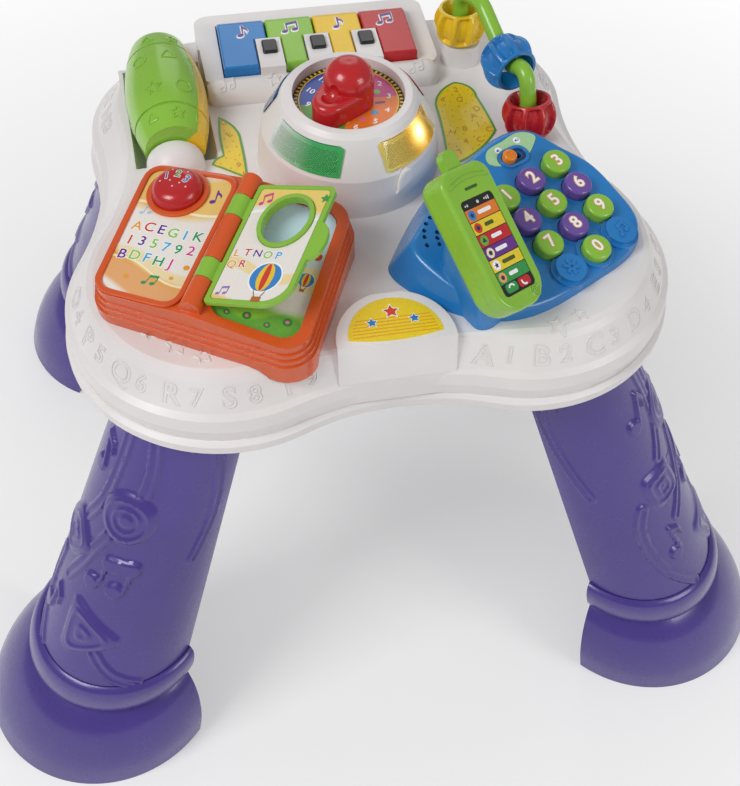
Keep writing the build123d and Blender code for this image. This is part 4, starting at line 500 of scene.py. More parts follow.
class Art:
    """Shapes gathered on one plane and made into one piece."""

    def __init__(self, plane, onto=()):
        self.plane = plane
        self.mesh = bmesh.new()
        self.materials = []
        self.surface = surface_of(*onto) if onto else None

    def absorb(self, curve, material, base, step, turn_to=None):
        """Takes in a filled curve or text whose underside lies base above the surface."""
        holder = bpy.data.objects.new("drawing", curve)
        flat = bpy.data.meshes.new_from_object(holder)
        part = bmesh.new()
        part.from_mesh(flat)
        bpy.data.objects.remove(holder)
        bpy.data.meshes.remove(flat)
        bmesh.ops.remove_doubles(part, verts=part.verts, dist=0.001)
        if turn_to is not None:
            part.transform(turn_to)
        if step:
            refine(part, step)
        if not part.verts:
            return
        lowest = min(vertex.co.z for vertex in part.verts)
        if material not in self.materials:
            self.materials.append(material)
        for face in part.faces:
            face.material_index = self.materials.index(material)
            face.smooth = True
        out = self.plane.col[2].to_3d()
        for vertex in part.verts:
            height = (vertex.co.z - lowest + base) * MM
            point = (self.plane @ Vector((vertex.co.x, vertex.co.y, 0))) * MM
            away = out
            if self.surface:
                hit, normal, _, _ = self.surface.ray_cast(point + out * RAY * MM, -out, 2 * RAY * MM)
                if hit is not None:
                    point = hit
                    away = normal if normal.dot(out) > 0 else -normal
            vertex.co = point + away * height
        made = bpy.data.meshes.new("part")
        part.to_mesh(made)
        part.free()
        self.mesh.from_mesh(made)
        bpy.data.meshes.remove(made)

    def build(self, curve, material, base, thick, bevel, outline, step, turn_to=None):
        """Gives a curve its thickness and bevel, or makes a tube of radius outline along it."""
        curve.fill_mode = "NONE" if outline else "BOTH"
        curve.extrude = 0.0 if outline else max(thick / 2 - bevel, 0.0)
        curve.bevel_depth = outline or bevel
        self.absorb(curve, material, base - outline * 0.7, step, turn_to)

    def shape(self, loops, material, base=0.02, thick=0.12, bevel=0.0, step=0.0, outline=0.0):
        """Filled shape inside loops (holes inside the outer loop), or a tube along them."""
        curve = bpy.data.curves.new("loops", "CURVE")
        curve.dimensions = "2D"
        curve.bevel_resolution = 2 if outline else 1
        for loop in loops:
            spline = curve.splines.new("POLY")
            spline.points.add(len(loop) - 1)
            for point, (x, y) in zip(spline.points, loop):
                point.co = (x, y, 0, 1)
            spline.use_cyclic_u = True
        self.build(curve, material, base, thick, bevel, outline, step)

    def mark(self, loop, colour, base=0.02, thick=INK, **more):
        """Printed shape."""
        self.shape([loop], ink(colour), base, thick, **more)

    def text(self, words, x, y, size, material, turn=0.0, base=0.02, thick=0.12, bold=0.0, step=0.0,
             outline=0.0):
        """Generic letters or digits in Blender's own font."""
        curve = bpy.data.curves.new("text", "FONT")
        curve.body = words
        curve.size = size
        curve.align_x = "CENTER"
        curve.align_y = "CENTER"
        curve.offset = bold
        curve.resolution_u = 4
        curve.bevel_resolution = 1
        place = Matrix.Translation((x, y, 0)) @ Matrix.Rotation(radians(turn), 4, "Z")
        self.build(curve, material, base, thick, 0.0, outline, step, place)

    def double_text(self, words, x, y, size, colours, bases, bolds, **more):
        """Letters over a bolder copy of themselves in another colour."""
        for colour, base, bold in zip(colours, bases, bolds):
            self.text(words, x, y, size, ink(colour), base=base, bold=bold, **more)

    def piece(self, name, body):
        """Makes the gathered shapes into an object that rides on a body."""
        data = bpy.data.meshes.new(name)
        self.mesh.to_mesh(data)
        self.mesh.free()
        for material in self.materials:
            data.materials.append(material)
        return place_piece(data, name, body)


def place_piece(data, name, body):
    """Object of a finished mesh."""
    data.set_sharp_from_angle(angle=radians(SHARP))
    made = bpy.data.objects.new(name, data)
    bpy.context.collection.objects.link(made)
    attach(made, body)
    return made


def ring_piece(rings, material, name, body, closed=False):
    """Smooth object through rings of points in millimetres, each ring joined to the next.

    The last ring is joined to the first if closed; otherwise strips across the end rings cap them.
    """
    count = len(rings[0])
    faces = []
    for row in range(len(rings) if closed else len(rings) - 1):
        here = row * count
        there = (row + 1) % len(rings) * count
        for k in range(count):
            after = (k + 1) % count
            faces.append((here + k, here + after, there + after, there + k))
    if not closed:
        top = (len(rings) - 1) * count
        for k in range(count // 2 - 1):
            opposite = count - 1 - k
            faces.append((k + 1, k, opposite, opposite - 1))
            faces.append((top + k, top + k + 1, top + opposite - 1, top + opposite))
    data = bpy.data.meshes.new(name)
    data.from_pydata([point * MM for ring in rings for point in ring], [], faces)
    data.materials.append(material)
    for polygon in data.polygons:
        polygon.use_smooth = True
    return place_piece(data, name, body)


surfaces = {}


def surface_of(*nodes):
    """Search tree over the surface of some CAD nodes."""
    if nodes not in surfaces:
        points, faces = [], []
        for node in nodes:
            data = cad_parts[node].data
            start = len(points)
            points += [vertex.co.copy() for vertex in data.vertices]
            faces += [[start + i for i in polygon.vertices] for polygon in data.polygons]
        surfaces[nodes] = BVHTree.FromPolygons(points, faces)
    return surfaces[nodes]


# Shell: raised letters, stars and marks

# Centre of each lobe of the tray, first angle, step and number of the pairs of letter and digit
LOBES = (((82.0, -84.0), -113.0, 22.0, 6), ((74.0, 60.0), -2.0, 23.0, 4),
         ((-74.0, 60.0), 113.0, 23.0, 4), ((-82.0, -84.0), -177.0, 22.0, 6))
LOBE_R = 78.0            # turns millimetres along the band into an angle
BAND_MIDDLE = 296.6
BAND_SLOPE = (0.855, 0.519)        # the band's normal, outwards and up
OUTSIDE = 200.0          # this far from a lobe's centre is outside the shell
LETTER_SIZE = 16.0
DIGIT_SIZE = LETTER_SIZE * 0.82
LETTER_APART = 6.6


def band_marks():
    """Raised outlines of letters and digits round the sloping band."""
    art = Art(Matrix.Identity(4), ("top_shell",))
    letters = iter("ABCDEFGHIJKLMNOPQRSTUVWXYZ")
    for lobe, (centre, first, step, count) in enumerate(LOBES):
        for number in range(count):
            digit = str((number + 4 * lobe) % 9 + 1)
            for words, side, size in ((next(letters), -1, LETTER_SIZE), (digit, 1, DIGIT_SIZE)):
                out = along(first + number * step + side * degrees(LETTER_APART / LOBE_R))
                start = Vector((*centre, BAND_MIDDLE)) + out * OUTSIDE
                hit, _, _, _ = art.surface.ray_cast(start * MM, -out, OUTSIDE * MM)
                normal = out * BAND_SLOPE[0] + Vector((0, 0, BAND_SLOPE[1]))
                art.plane = frame_of(hit / MM, Vector((0, 0, 1)).cross(out), normal)
                art.text(words, 0, 0, size, finishes["shell_white"], outline=0.42, bold=0.2, step=2.0)
    art.piece("band_marks", "table")


DECK_STARS = ((-122.0, -122.0, 4.6, 10.0), (-109.5, -132.5, 6.4, -14.0), (-97.0, -141.5, 4.8, 6.0),
              (84.6, -150.7, 5.6, -12.0), (97.3, -145.9, 4.2, 15.0))   # middle, radius, turn
BAR_NOTES = ((-62.0, 1.5, True), (-4.0, 1.6, False), (52.0, 1.5, True))  # place along the bar, size, paired
BAR_STARS = (-34.0, 26.0)


def deck_marks():
    """Raised stars on the play surface, and notes and stars on the bar in front of the piano."""
    white = finishes["shell_white"]
    art = Art(frame_of((0, 0, 308), (1, 0, 0), (0, 0, 1)), ("top_shell",))
    for spot in DECK_STARS:
        art.shape([star(*spot)], white, outline=0.5, step=1.5)
    art.piece("deck_stars", "table")
    bar = Art(frame_of((0, 54.0, 318.0), (1, 0, 0), (0, -0.35, 0.94)), ("top_shell",))
    loops = [note(x, 0, size, 0.0, pair) for x, size, pair in BAR_NOTES]
    loops += [star(x, 0, 4.6, 8.0) for x in BAR_STARS]
    for loop in loops:
        bar.shape([loop], white, outline=0.4, step=1.5)
    bar.piece("piano_bar_marks", "table")


BOSS_ANGLE, BOSS_OUT = -63.0, 75.0
BOSS_CENTRE = (0.0, -6.0, 326.0)   # on the dome's axis, at the boss's height


def dome_boss():
    """Drop-shaped boss on the dome's front right."""
    out = along(BOSS_ANGLE)
    plane = frame_of(Vector(BOSS_CENTRE) + out * BOSS_OUT, along(BOSS_ANGLE + 90.0), out)
    drop = [(4.8 * sin(a) * sin(a / 2) ** 1.3, 6.0 * cos(a)) for a in (2 * pi * i / 40 for i in range(40))]
    art = Art(plane, ("dome", "top_shell"))
    art.shape([placed(drop, turn=140.0)], finishes["shell_white"], base=RAISED, thick=2.4, bevel=1.1,
              step=1.6)
    art.piece("dome_boss", "table")


# Legs: a smooth skin with raised shapes and double bands

LEGS = {"leg_front_right": (1, -1, -41.0), "leg_front_left": (-1, -1, 221.0),
        "leg_rear_right": (1, 1, 41.0), "leg_rear_left": (-1, 1, 139.0)}      # sides and facing
FRONT_LEG = ((190.0, 155.0), (169.0, 157.0), (102.0, 110.0))                # foot, ankle, tray underside
REAR_LEG = ((157.0, 155.0), (141.0, 146.0), (94.0, 86.0))
ANKLE_R, LEG_TOP_R, NECK = 49.5, 36.5, 51.3
COLLAR_TOP, RIM_BOTTOM = 86.0, 262.0
LEG_CHORD = 10.15        # the skin ends this far behind the leg's centre line
BELL = ((0.0, 77.0), (18.0, 74.4), (34.0, 69.3), (46.0, 63.1), (54.0, 56.4), (58.0, NECK))
COLLAR = ((58.0, NECK), (60.0, 54.1), (67.0, 55.9), (77.0, 55.5), (83.5, 53.5), (86.0, 50.1))
SKIN_OUT, SKIN_DEEP = 0.3, 1.2     # how far the skin stands out of the CAD leg, and reaches into it
SKIN_STEP = 0.85
SKIN_COLUMNS = 190       # steps of the skin round a leg
STRETCH = 1.1            # the column leans, so its face is longer than it is high
SHAPE_SIZE = 1.22
SHAPE_REACH = 19.0       # no raised shape reaches further from its middle
# Angle from the leg's front and height of each raised shape, and the lines of the double bands
LEFT_SHAPES = (("note", -30, 224, 12), ("square", -32, 168, 45), ("note", -34, 120, -8),
               ("circle", 13, 199, 0), ("pair", 12, 161, -10), ("triangle", 7, 119, -90))
RIGHT_SHAPES = (("note", -9, 221, -14), ("square", -11, 167, 8), ("note", -20, 126, 10),
                ("circle", 30, 205, 0), ("pair", 33, 158, 8), ("triangle", 31, 106, 60))
LEFT_BANDS = (((-10, 262), (-8, 240), (-9, 220), (-13, 200), (-24, 184)),
              ((10, 262), (18, 246), (22, 230), (21, 214)),
              ((4, 186), (-6, 172), (-13, 158), (-24, 142)),
              ((14, 114), (24, 103), (36, 94), (56, 86)),
              ((46, 262), (66, 246), (80, 222), (84, 196), (74, 170)),
              ((-44, 146), (-48, 124), (-42, 102), (-30, 86)))
RIGHT_BANDS = (((2, 262), (9, 240), (13, 218), (8, 200), (-4, 184)),
               ((-36, 158), (-43, 146), (-43, 128), (-34, 106), (-14, 88)),
               ((20, 262), (26, 240), (30, 224)),
               ((30, 184), (22, 172), (10, 156), (-8, 140)),
               ((-90, 262), (-96, 226), (-88, 196), (-74, 170)),
               ((36, 140), (46, 122), (44, 100), (34, 88)))


def leg_point(leg, angle, height, radius):
    """Point at an angle from a leg's front, in millimetres."""
    sx, sy, facing = LEGS[leg]
    foot, ankle, top = FRONT_LEG if sy < 0 else REAR_LEG
    if height < COLLAR_TOP:
        low, high, share = foot, ankle, height / COLLAR_TOP
    else:
        low, high, share = ankle, top, (height - COLLAR_TOP) / (RIM_BOTTOM - COLLAR_TOP)
    out = along(facing + angle)
    x, y = (low[i] + (high[i] - low[i]) * share for i in (0, 1))
    return Vector((sx * x + radius * out.x, sy * y + radius * out.y, height))


def curve_through(points, step):
    """Smooth line through some points with about that spacing."""
    ends = [points[0], *points, points[-1]]
    made = []
    for p0, p1, p2, p3 in zip(ends, ends[1:], ends[2:], ends[3:]):
        parts = max(2, int(hypot(p2[0] - p1[0], p2[1] - p1[1]) / step))
        for i in range(parts):
            t = i / parts
            made.append(tuple(0.5 * (2 * b + (c - a) * t + (2 * a - 5 * b + 4 * c - d) * t * t +
                                     (3 * b - a - 3 * c + d) * t ** 3) for a, b, c, d in zip(p0, p1, p2, p3)))
    made.append(points[-1])
    return made


def segment_gap(x, y, start, end):
    """Distance from a point to a segment."""
    dx, dy = end[0] - start[0], end[1] - start[1]
    share = ((x - start[0]) * dx + (y - start[1]) * dy) / (dx * dx + dy * dy + 1e-9)
    share = min(max(share, 0.0), 1.0)
    return hypot(x - start[0] - dx * share, y - start[1] - dy * share)


FACE_HIGH, RING_HIGH = 2.1, 0.8
RINGS = ((3.4, 5.8), (7.6, 9.8))   # where the rings start and end, from the outline inwards
KNOB_START = 11.4
BAND_HALF, BAND_HIGH = 4.5, 1.5
GROOVE_HALF, GROOVE_DEEP = 1.9, 0.9          # the groove that makes a band double
BARE = 0.2               # bands run where the raised shapes are lower than this


def stepped(depth):
    """Height of a raised shape with two rings and a knob, from the depth inside its outline."""
    if depth <= 0:
        return 0.0
    high = FACE_HIGH * smooth(depth / 2.8)
    for start, end in RINGS:
        high += RING_HIGH * smooth((depth - start) / 0.9) * smooth((end - depth) / 0.9)
    return high + RING_HIGH * smooth(depth - KNOB_START)


# Middle and radius of the notes' heads; start, end and half width of their stems, flags and beams
HEADS = {"note": (((-2.2, -8.0), 4.4),), "pair": (((-6.4, -8.6), 4.6), ((6.0, -6.2), 4.6))}
STEMS = {"note": (((1.5, -8.0), (1.5, 9.0), 1.5), ((1.5, 9.0), (6.0, 5.2), 1.7),
                  ((6.0, 5.2), (6.6, 0.6), 1.3)),
         "pair": (((-2.6, -8.0), (-2.6, 8.6), 1.5), ((9.8, -5.6), (9.8, 11.4), 1.5),
                  ((-2.0, 6.6), (9.2, 9.4), 4.2))}
NOTE_HIGH = 2.2
CIRCLE_R, SQUARE_HALF, TRIANGLE_HALF = 15.0, 12.4, 12.6
TRIANGLE_SHARP = 0.36    # a smaller number rounds the triangle more


def shape_height(kind, x, y):
    """Height of one raised shape at a place on it."""
    reach = hypot(x, y)
    if reach > SHAPE_REACH:
        return 0.0
    if kind == "circle":
        return stepped(CIRCLE_R - reach)
    if kind == "square":
        return stepped(SQUARE_HALF - (x ** 4 + y ** 4) ** 0.25)
    if kind == "triangle":
        sides = [x * cos(radians(a)) + y * sin(radians(a)) for a in (-90, 30, 150)]
        rounded = log(sum(exp(side * TRIANGLE_SHARP) for side in sides)) / TRIANGLE_SHARP
        return stepped(TRIANGLE_HALF - rounded)
    depth = max([radius - hypot(x - cx, y - cy) for (cx, cy), radius in HEADS[kind]] +
                [width - segment_gap(x, y, start, end) for start, end, width in STEMS[kind]])
    return NOTE_HIGH * smooth((depth + 0.3) / 1.3)


def band_height(gap):
    """Height of a double band at a distance from its middle line."""
    return BAND_HIGH * smooth((BAND_HALF - gap) / 1.3) - GROOVE_DEEP * smooth((GROOVE_HALF - gap) / 1.1)


def relief(angle, height, turn, shapes, lines):
    """Height of the raised shapes and bands at a place on a column; turn is the length of one degree."""
    raised = 0.0
    for kind, at, up, spin in shapes:
        place = ((angle - at) * turn / SHAPE_SIZE, (height - up) * STRETCH / SHAPE_SIZE)
        if max(abs(place[0]), abs(place[1])) < SHAPE_REACH:
            raised = max(raised, shape_height(kind, *placed([place], turn=-spin)[0]))
    if raised < BARE:
        gaps = [segment_gap(angle * turn, height * STRETCH, (a[0] * turn, a[1] * STRETCH),
                            (b[0] * turn, b[1] * STRETCH))
                for line in lines for a, b in zip(line, line[1:]) if abs(height - (a[1] + b[1]) / 2) < 12]
        raised = max(raised, band_height(min(gaps, default=SHAPE_REACH)))
    return raised


def make_legs():
    """Skin over each leg: smooth foot and collar, and the raised shapes of the column."""
    skin = plastic("leg_skin", PURPLE, rough=0.27, coat=0.35, soften=0.0)
    column_rows = int((RIM_BOTTOM - COLLAR_TOP) / SKIN_STEP)
    column_high = RIM_BOTTOM - 0.3 - COLLAR_TOP
    for leg, (side, _, _) in LEGS.items():
        shapes, bands = (LEFT_SHAPES, LEFT_BANDS) if side < 0 else (RIGHT_SHAPES, RIGHT_BANDS)
        lines = [curve_through(band, 9.0) for band in bands]
        rows = curve_through(BELL, 2.5) + curve_through(COLLAR, 1.2)[1:]
        foot_rows = len(rows)
        for i in range(column_rows + 1):
            share = i / column_rows
            rows.append((COLLAR_TOP + column_high * share, ANKLE_R + (LEG_TOP_R - ANKLE_R) * share))
        rings = []
        for number, (height, radius) in enumerate(rows):
            half = 180.0 - degrees(acos(LEG_CHORD / radius))
            angles = [-half + 2 * half * k / SKIN_COLUMNS for k in range(SKIN_COLUMNS + 1)]
            ring = []
            for angle in angles:
                raised = 0.0
                if number >= foot_rows:
                    raised = relief(angle, height, radius * pi / 180.0, shapes, lines)
                    raised *= smooth((RIM_BOTTOM - 1.0 - height) / 3.0) * smooth((half - abs(angle)) / 4.0)
                ring.append(leg_point(leg, angle, height, radius + SKIN_OUT + raised))
            ring += [leg_point(leg, angle, height, radius - SKIN_DEEP) for angle in reversed(angles)]
            rings.append(ring)
        ring_piece(rings, skin, leg + "_skin", "table")


# Keys, dial, labels

KEY_ACROSS, KEY_DOWN = 20.5, 17.5  # pitches of the phone's keys
KEY_SLANT = 1.2                    # how far each row lies to the left of the one above it


def digits_on_keys():
    """Outlined digits on the phone's keys."""
    for row, names in enumerate(("123", "456", "789", " 0")):
        for column, name in enumerate(names):
            if name != " ":
                x = (column - 1) * KEY_ACROSS - (row - 1) * KEY_SLANT
                art = Art(moved(phone, x, (1 - row) * KEY_DOWN))
                art.double_text(name, 0, 0, 10.2, (TAN, "FFFFFF"), (0.02, 0.1), (0.62, 0.16), thick=0.1)
                art.piece("digit_" + name, "button_" + name)


DIAL_LAYER = 0.1         # thickness of the dial's layers, and height of the second one
# Colour, start and span of the dial's coloured fields
QUARTERS = ((PINK, 0, 90), ("2347A5", 90, 90), ("58A23A", 180, 75), ("F0802B", 255, 105))
QUARTER_R, RING_R = (6.0, 27.6), (27.9, 27.2)
TICK = (29.25, 0, 1.9, 1.24)       # middle, length and width
NUMBERS_R, PICTURES_R = 22.6, 17.4
# Angle, colour and loop of the small pictures inside the numbers
DIAL_PICTURES = (
    (105, "F7E04B", star(0, 0, 2.2)), (135, "F7E04B", circle(0, 0, 1.9)), (165, "FFFFFF", star(0, 0, 1.8)),
    (75, "8CD04A", circle(0, 0, 2.2, 1.5, 20)), (45, "F7E04B", triangle(0, 0, 2.4)),
    (15, "8CD04A", circle(0, 0, 1.9)), (-15, "6A2C90", box(0, 0, 5.5, 1.6, 0.5)),
    (-45, "3FA9E0", box(0, 0, 3.8, 3.0, 0.5, 20)), (-75, "F06FA8", circle(0, 0, 1.7)),
    (-105, "F7E04B", circle(0, 0, 2.1)), (-135, "FFFFFF", star(0, 0, 2.0)), (-165, "F7E04B", star(0, 0, 2.0)))


def dial():
    """Printed clock dial: tick ring, coloured quarters, numbers and small pictures."""
    art = Art(clock)
    for colour, start, span in QUARTERS:
        art.mark(sector(*QUARTER_R, start, span), colour, thick=DIAL_LAYER)
    art.shape([circle(0, 0, r) for r in RING_R], ink(YELLOW), base=DIAL_LAYER, thick=DIAL_LAYER)
    for tick in range(60):
        art.mark(placed(box(*TICK), turn=6 * tick), YELLOW, thick=DIAL_LAYER)
    for hour in range(1, 13):
        c = along(90 - 30 * hour) * NUMBERS_R
        art.text(str(hour), c.x, c.y, 5.4, ink("FFFFFF"), turn=-4.5 * hour, base=DIAL_LAYER,
                 thick=DIAL_LAYER, bold=0.1)
    for angle, colour, loop in DIAL_PICTURES:
        c = along(angle) * PICTURES_R
        art.mark(placed(loop, c.x, c.y), colour, DIAL_LAYER, DIAL_LAYER)
    art.piece("dial_print", "table")


DECK_TRIES = 900
LETTER_GAP, DOT_GAP = 7.0, 4.4     # least distance of a letter or a dot from the marks already there


def deck_prints():
    """Green borders, and letters and dots scattered over the two labels on the play surface."""
    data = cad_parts["deck_labels"].data
    brown = ink("C98A1E")
    top = max(vertex.co.z for vertex in data.vertices)
    sides = {}
    for polygon in data.polygons:
        if all(top - data.vertices[i].co.z < 1e-5 for i in polygon.vertices):
            corners = [tuple(round(c / MM, 3) for c in data.vertices[i].co[:2]) for i in polygon.vertices]
            sides.update(dict.fromkeys(zip(corners, corners[1:] + corners[:1])))
    follow = {a: b for (a, b) in sides if (b, a) not in sides}
    art = Art(frame_of((0, 0, top / MM), (1, 0, 0), (0, 0, 1)))
    seeded = random.Random(4)
    while follow:
        start = next(iter(follow))
        loop = [start]
        while follow.get(loop[-1]) is not None and follow[loop[-1]] != start:
            loop.append(follow.pop(loop[-1]))
        follow.pop(loop[-1], None)
        if len(loop) < 8:
            continue
        art.shape([loop, inset_loop(loop, 1.3)], ink("4F9F3C"), thick=0.1)
        xs, ys = zip(*loop)
        for_letters, for_dots = inset_loop(loop, 4.2), inset_loop(loop, 2.6)
        taken = []
        for _ in range(DECK_TRIES):
            x = seeded.uniform(min(xs), max(xs))
            y = seeded.uniform(min(ys), max(ys))
            gap = min([hypot(x - a, y - b) for a, b in taken], default=99.0)
            if gap > LETTER_GAP and inside(x, y, for_letters):
                taken.append((x, y))
                art.text(seeded.choice("ABCDEFGHK123456789"), x, y, 6.2, brown, turn=seeded.uniform(-40, 40),
                         thick=INK)
            elif gap > DOT_GAP and inside(x, y, for_dots):
                taken.append((x, y))
                art.shape([circle(x, y, 0.45, count=10)], brown, thick=INK)
    art.piece("deck_prints", "table")


def inset_loop(loop, distance):
    """Counterclockwise loop moved inwards."""
    made = []
    for i, point in enumerate(loop):
        before, after = Vector(loop[i - 1]), Vector(loop[(i + 1) % len(loop)])
        p = Vector(point)
        a = (p - before).normalized()
        b = (after - p).normalized()
        out = Vector((-(a.y + b.y), a.x + b.x))
        if out.length < 1e-6:
            continue
        made.append(tuple(p + out.normalized() * distance))
    return made


def inside(x, y, loop):
    """Whether a point lies inside a loop."""
    found = False
    for (ax, ay), (bx, by) in zip(loop, loop[1:] + loop[:1]):
        if (ay > y) != (by > y) and x < ax + (y - ay) * (bx - ax) / (by - ay):
            found = not found
    return found


PLATE_HALF = 24.5        # half the width of the nameplate's label
PLATE_ARC = (4.5, 24.0)            # where its rounded top starts, and how high it is
PLATE_EDGE = 2.4         # stripes stop this far from the edge
STRIPES = [5.2 + 2.1 * i for i in range(6)]
PLATE_STARS = ((0.0, 19.5, 5.2, "D8431E"), (-11.0, 13.5, 3.6, BLUE), (11.0, 13.5, 3.6, BLUE))


def plate_print():
    """Stripes and stars on the nameplate label."""
    art = Art(moved(plate, z=0.4))
    for y in STRIPES:
        half = PLATE_HALF * sqrt(1.0 - ((y - PLATE_ARC[0]) / PLATE_ARC[1]) ** 2) - PLATE_EDGE
        art.mark(box(0, y, 2 * half, 0.55), "E8A12A")
    for x, y, size, colour in PLATE_STARS:
        art.mark(star(x, y, size), "FFFFFF", 0.1)
        art.mark(star(x, y, size * 0.8), colour, 0.16)
    art.piece("plate_print", "table")


PRINT_COLOURS = ("E8A12A", "8CC83C", PINK, "D23A2A", "3FA9E0", "2F4FA8", "6A2C90", "1F9A58")


def letter_rows(art, rows, size, pitch, lead, x, y):
    """Rows of coloured letters with a white outline."""
    number = 0
    for row, words in enumerate(rows):
        for column, letter in enumerate(words):
            colour = PRINT_COLOURS[(number * 3 + row) % len(PRINT_COLOURS)]
            art.double_text(letter, x + column * pitch, y - row * lead + 0.6 * sin(column * 1.3), size,
                            ("FFFFFF", colour), (0.02, SECOND), (size * 0.06, size * 0.012), thick=INK)
            number += 1


BIG_BUTTON = (-36.0, 27.0)         # its place on the left page
# Corners of the rim's outside and of the sheet inside it, before they are rounded
LEFT_RIM = ((-58.8, 42.8), (-6.8, 44.6), (-6.8, -45.0), (-53.8, -42.9))
LEFT_SHEET = ((-56.7, 40.8), (-8.6, 42.5), (-8.6, -43.0), (-51.8, -41.0))
SHEET_TOP = 0.35
BUTTON_RIM = (14.1, 16.2)          # inner and outer radius


def left_sheet():
    """Printed sheet that fills the left page, with the raised rims round it and round the button."""
    sheet = soft_corners(LEFT_SHEET, 9.0, 8)
    paper = Art(left_page)
    paper.shape([sheet, circle(*BIG_BUTTON, BUTTON_RIM[1] - 0.4)], bpy.data.materials["page_left"],
                thick=SHEET_TOP - 0.02)
    paper.piece("page_left_sheet", "table")
    rims = Art(left_page)
    for loops, thick in (([soft_corners(LEFT_RIM, 11.0, 8), sheet], 1.5),
                         ([circle(*BIG_BUTTON, r) for r in BUTTON_RIM], 1.9)):
        rims.shape(loops, finishes["orange"], base=0.0, thick=thick, bevel=0.6)
    rims.piece("page_left_rim", "table")


# Place, size, turn, whether paired, and colour of the notes; place and radius of the dots and flowers
LEFT_NOTES = ((-15.5, 29.0, 1.5, 8, False, "6A2C90"), (-47.5, 12.5, 1.1, 0, True, "A9CBE8"),
              (-27.0, -30.5, 1.2, -10, True, "1F9A58"))
LEFT_DOTS = ((-12.0, -19.0, 1.6), (-17.0, -27.0, 1.1), (-40.0, -31.0, 1.3))
FLAP_NOTES = ((4.5, 29.5, 1.25, 12, True, PINK), (4.5, -31.5, 1.0, -6, True, "9A7BC0"))
FLOWERS = ((16.0, -37.0, 1.6), (26.0, -36.0, 2.2), (37.0, -37.5, 1.7), (46.0, -33.0, 2.4))
FLAP_FACE = 1.12         # the turning page's printed faces lie this far from its middle
SCENE_DOWN = -2.58       # and the right page's face this far down


def book_prints():
    """Letters, notes and small pictures on the book's pages."""
    left_sheet()
    left = Art(moved(left_page, z=SHEET_TOP))
    letter_rows(left, ("ACEGIK", "135792", "BDFHJ"), 8.4, 6.8, 9.6, -48.0, 1.0)
    for *where, colour in LEFT_NOTES:
        left.mark(note(*where), colour)
    for dot in LEFT_DOTS:
        left.mark(circle(*dot), "E8A12A")
    left.piece("page_left_print", "table")

    for name, side, x in (("front", 1, 9.5), ("back", -1, -47.5)):
        plane = moved(turning_page, z=side * FLAP_FACE)
        art = Art(plane if side > 0 else rolled(plane, 180.0))
        letter_rows(art, ("LTNOP", "QR"), 6.4, 5.9, 7.4, x + 2.6, -7.6)
        for from_left, *where, colour in FLAP_NOTES:
            art.mark(note(x + from_left, *where), colour)
        balloon(art, x + 24.5, -22.0, 8.2)
        art.mark(star(x + 38.0, 31.0, 3.2, 10), DARK_GREEN)
        art.piece("page_print_" + name, "page")

    scene = Art(moved(right_page, z=SCENE_DOWN))
    balloon(scene, 46.0, -4.0, 4.0)
    scene.mark(star(44.0, 24.0, 3.2), "E8A12A")
    scene.mark(circle(46.5, 12.0, 2.6), "D23A2A")
    for x, y, r in FLOWERS:
        scene.mark(circle(x, y + r * 0.7, r), "2E8B3A")
        scene.mark(circle(x, y + r * 0.7, r * 0.4), "F06FA8", SECOND)
    scene.piece("page_scene_print", "table")


def balloon(art, x, y, r):
    """Hot-air balloon with its basket."""
    for wide, high, colour, base in ((1.12, 1.2, "FFFFFF", 0.02), (1.0, 1.08, "2F86CC", SECOND),
                                     (0.52, 1.06, "F2C531", THIRD), (0.2, 1.04, "D23A2A", 0.2)):
        art.mark(circle(x, y, r * wide, r * high), colour, base)
    for side in (-r, r):
        rope = ribbon([(x + side * 0.45, y - r * 0.9), (x + side * 0.2, y - r * 1.5)], 0.35)
        art.mark(rope, "7A4A22", SECOND)
    art.mark(box(x, y - r * 1.68, r * 0.6, r * 0.4, 0.3), "B36A2E", SECOND)


# Digit, place, turn and colour
BUTTON_DIGITS = (("1", -5.6, 2.8, 14, "5A48A8"), ("2", 0.0, 5.4, 0, "2FA44B"), ("3", 5.6, 2.8, -14, "2F6FC0"))
BUTTON_DOTS = ((-7.5, -1.5), (-2.6, 0.2), (3.0, -0.4), (7.2, -2.2), (0.2, -3.4), (-4.4, 8.0), (4.2, 8.2))


def button_marks():
    """Digits and dots printed on the big button's crown."""
    art = Art(moved(left_page, *BIG_BUTTON), ("abc_button",))
    for words, x, y, turn, colour in BUTTON_DIGITS:
        art.double_text(words, x, y, 6.6, ("F6E6E6", colour), (0.02, 0.12), (0.42, 0.08), turn=turn,
                        thick=0.1, step=1.2)
    for x, y in BUTTON_DOTS:
        art.mark(circle(x, y, 0.55, count=12), "F2B8B8", thick=0.1, step=1.2)
    art.piece("button_print", "big_button")


# Colour of each row on the handset's screen, of its badge and of its bar, and the picture in the badge
SCREEN_ROWS = (("E98024", "2F86CC", "FFFFFF", "star"), ("EFD32C", "D23A2A", "4A5A1A", "dot"),
               ("C8202B", "5FB83A", "FFFFFF", "triangle"), ("6A2C90", "F6E7C8", "FFFFFF", "dot"),
               ("EFD32C", "FFFFFF", "4A5A1A", "star"), ("2E9A48", "F0A868", "FFFFFF", "dot"))
SCREEN_TOP, SCREEN_ROW = 17.3, 6.75          # middle of the first row, and the rows' pitch
BADGE_X = -7.6
STATUS_Y = 22.6
STATUS_BARS = ((-9.0, 0.9), (-7.6, 1.3), (5.0, 1.0), (6.4, 1.5), (7.8, 2.0))           # place, height
CALL_KEYS = ((-4.8, "2E9A48", 0), (4.8, "C8202B", 140))      # place, colour and turn of the receiver's sign


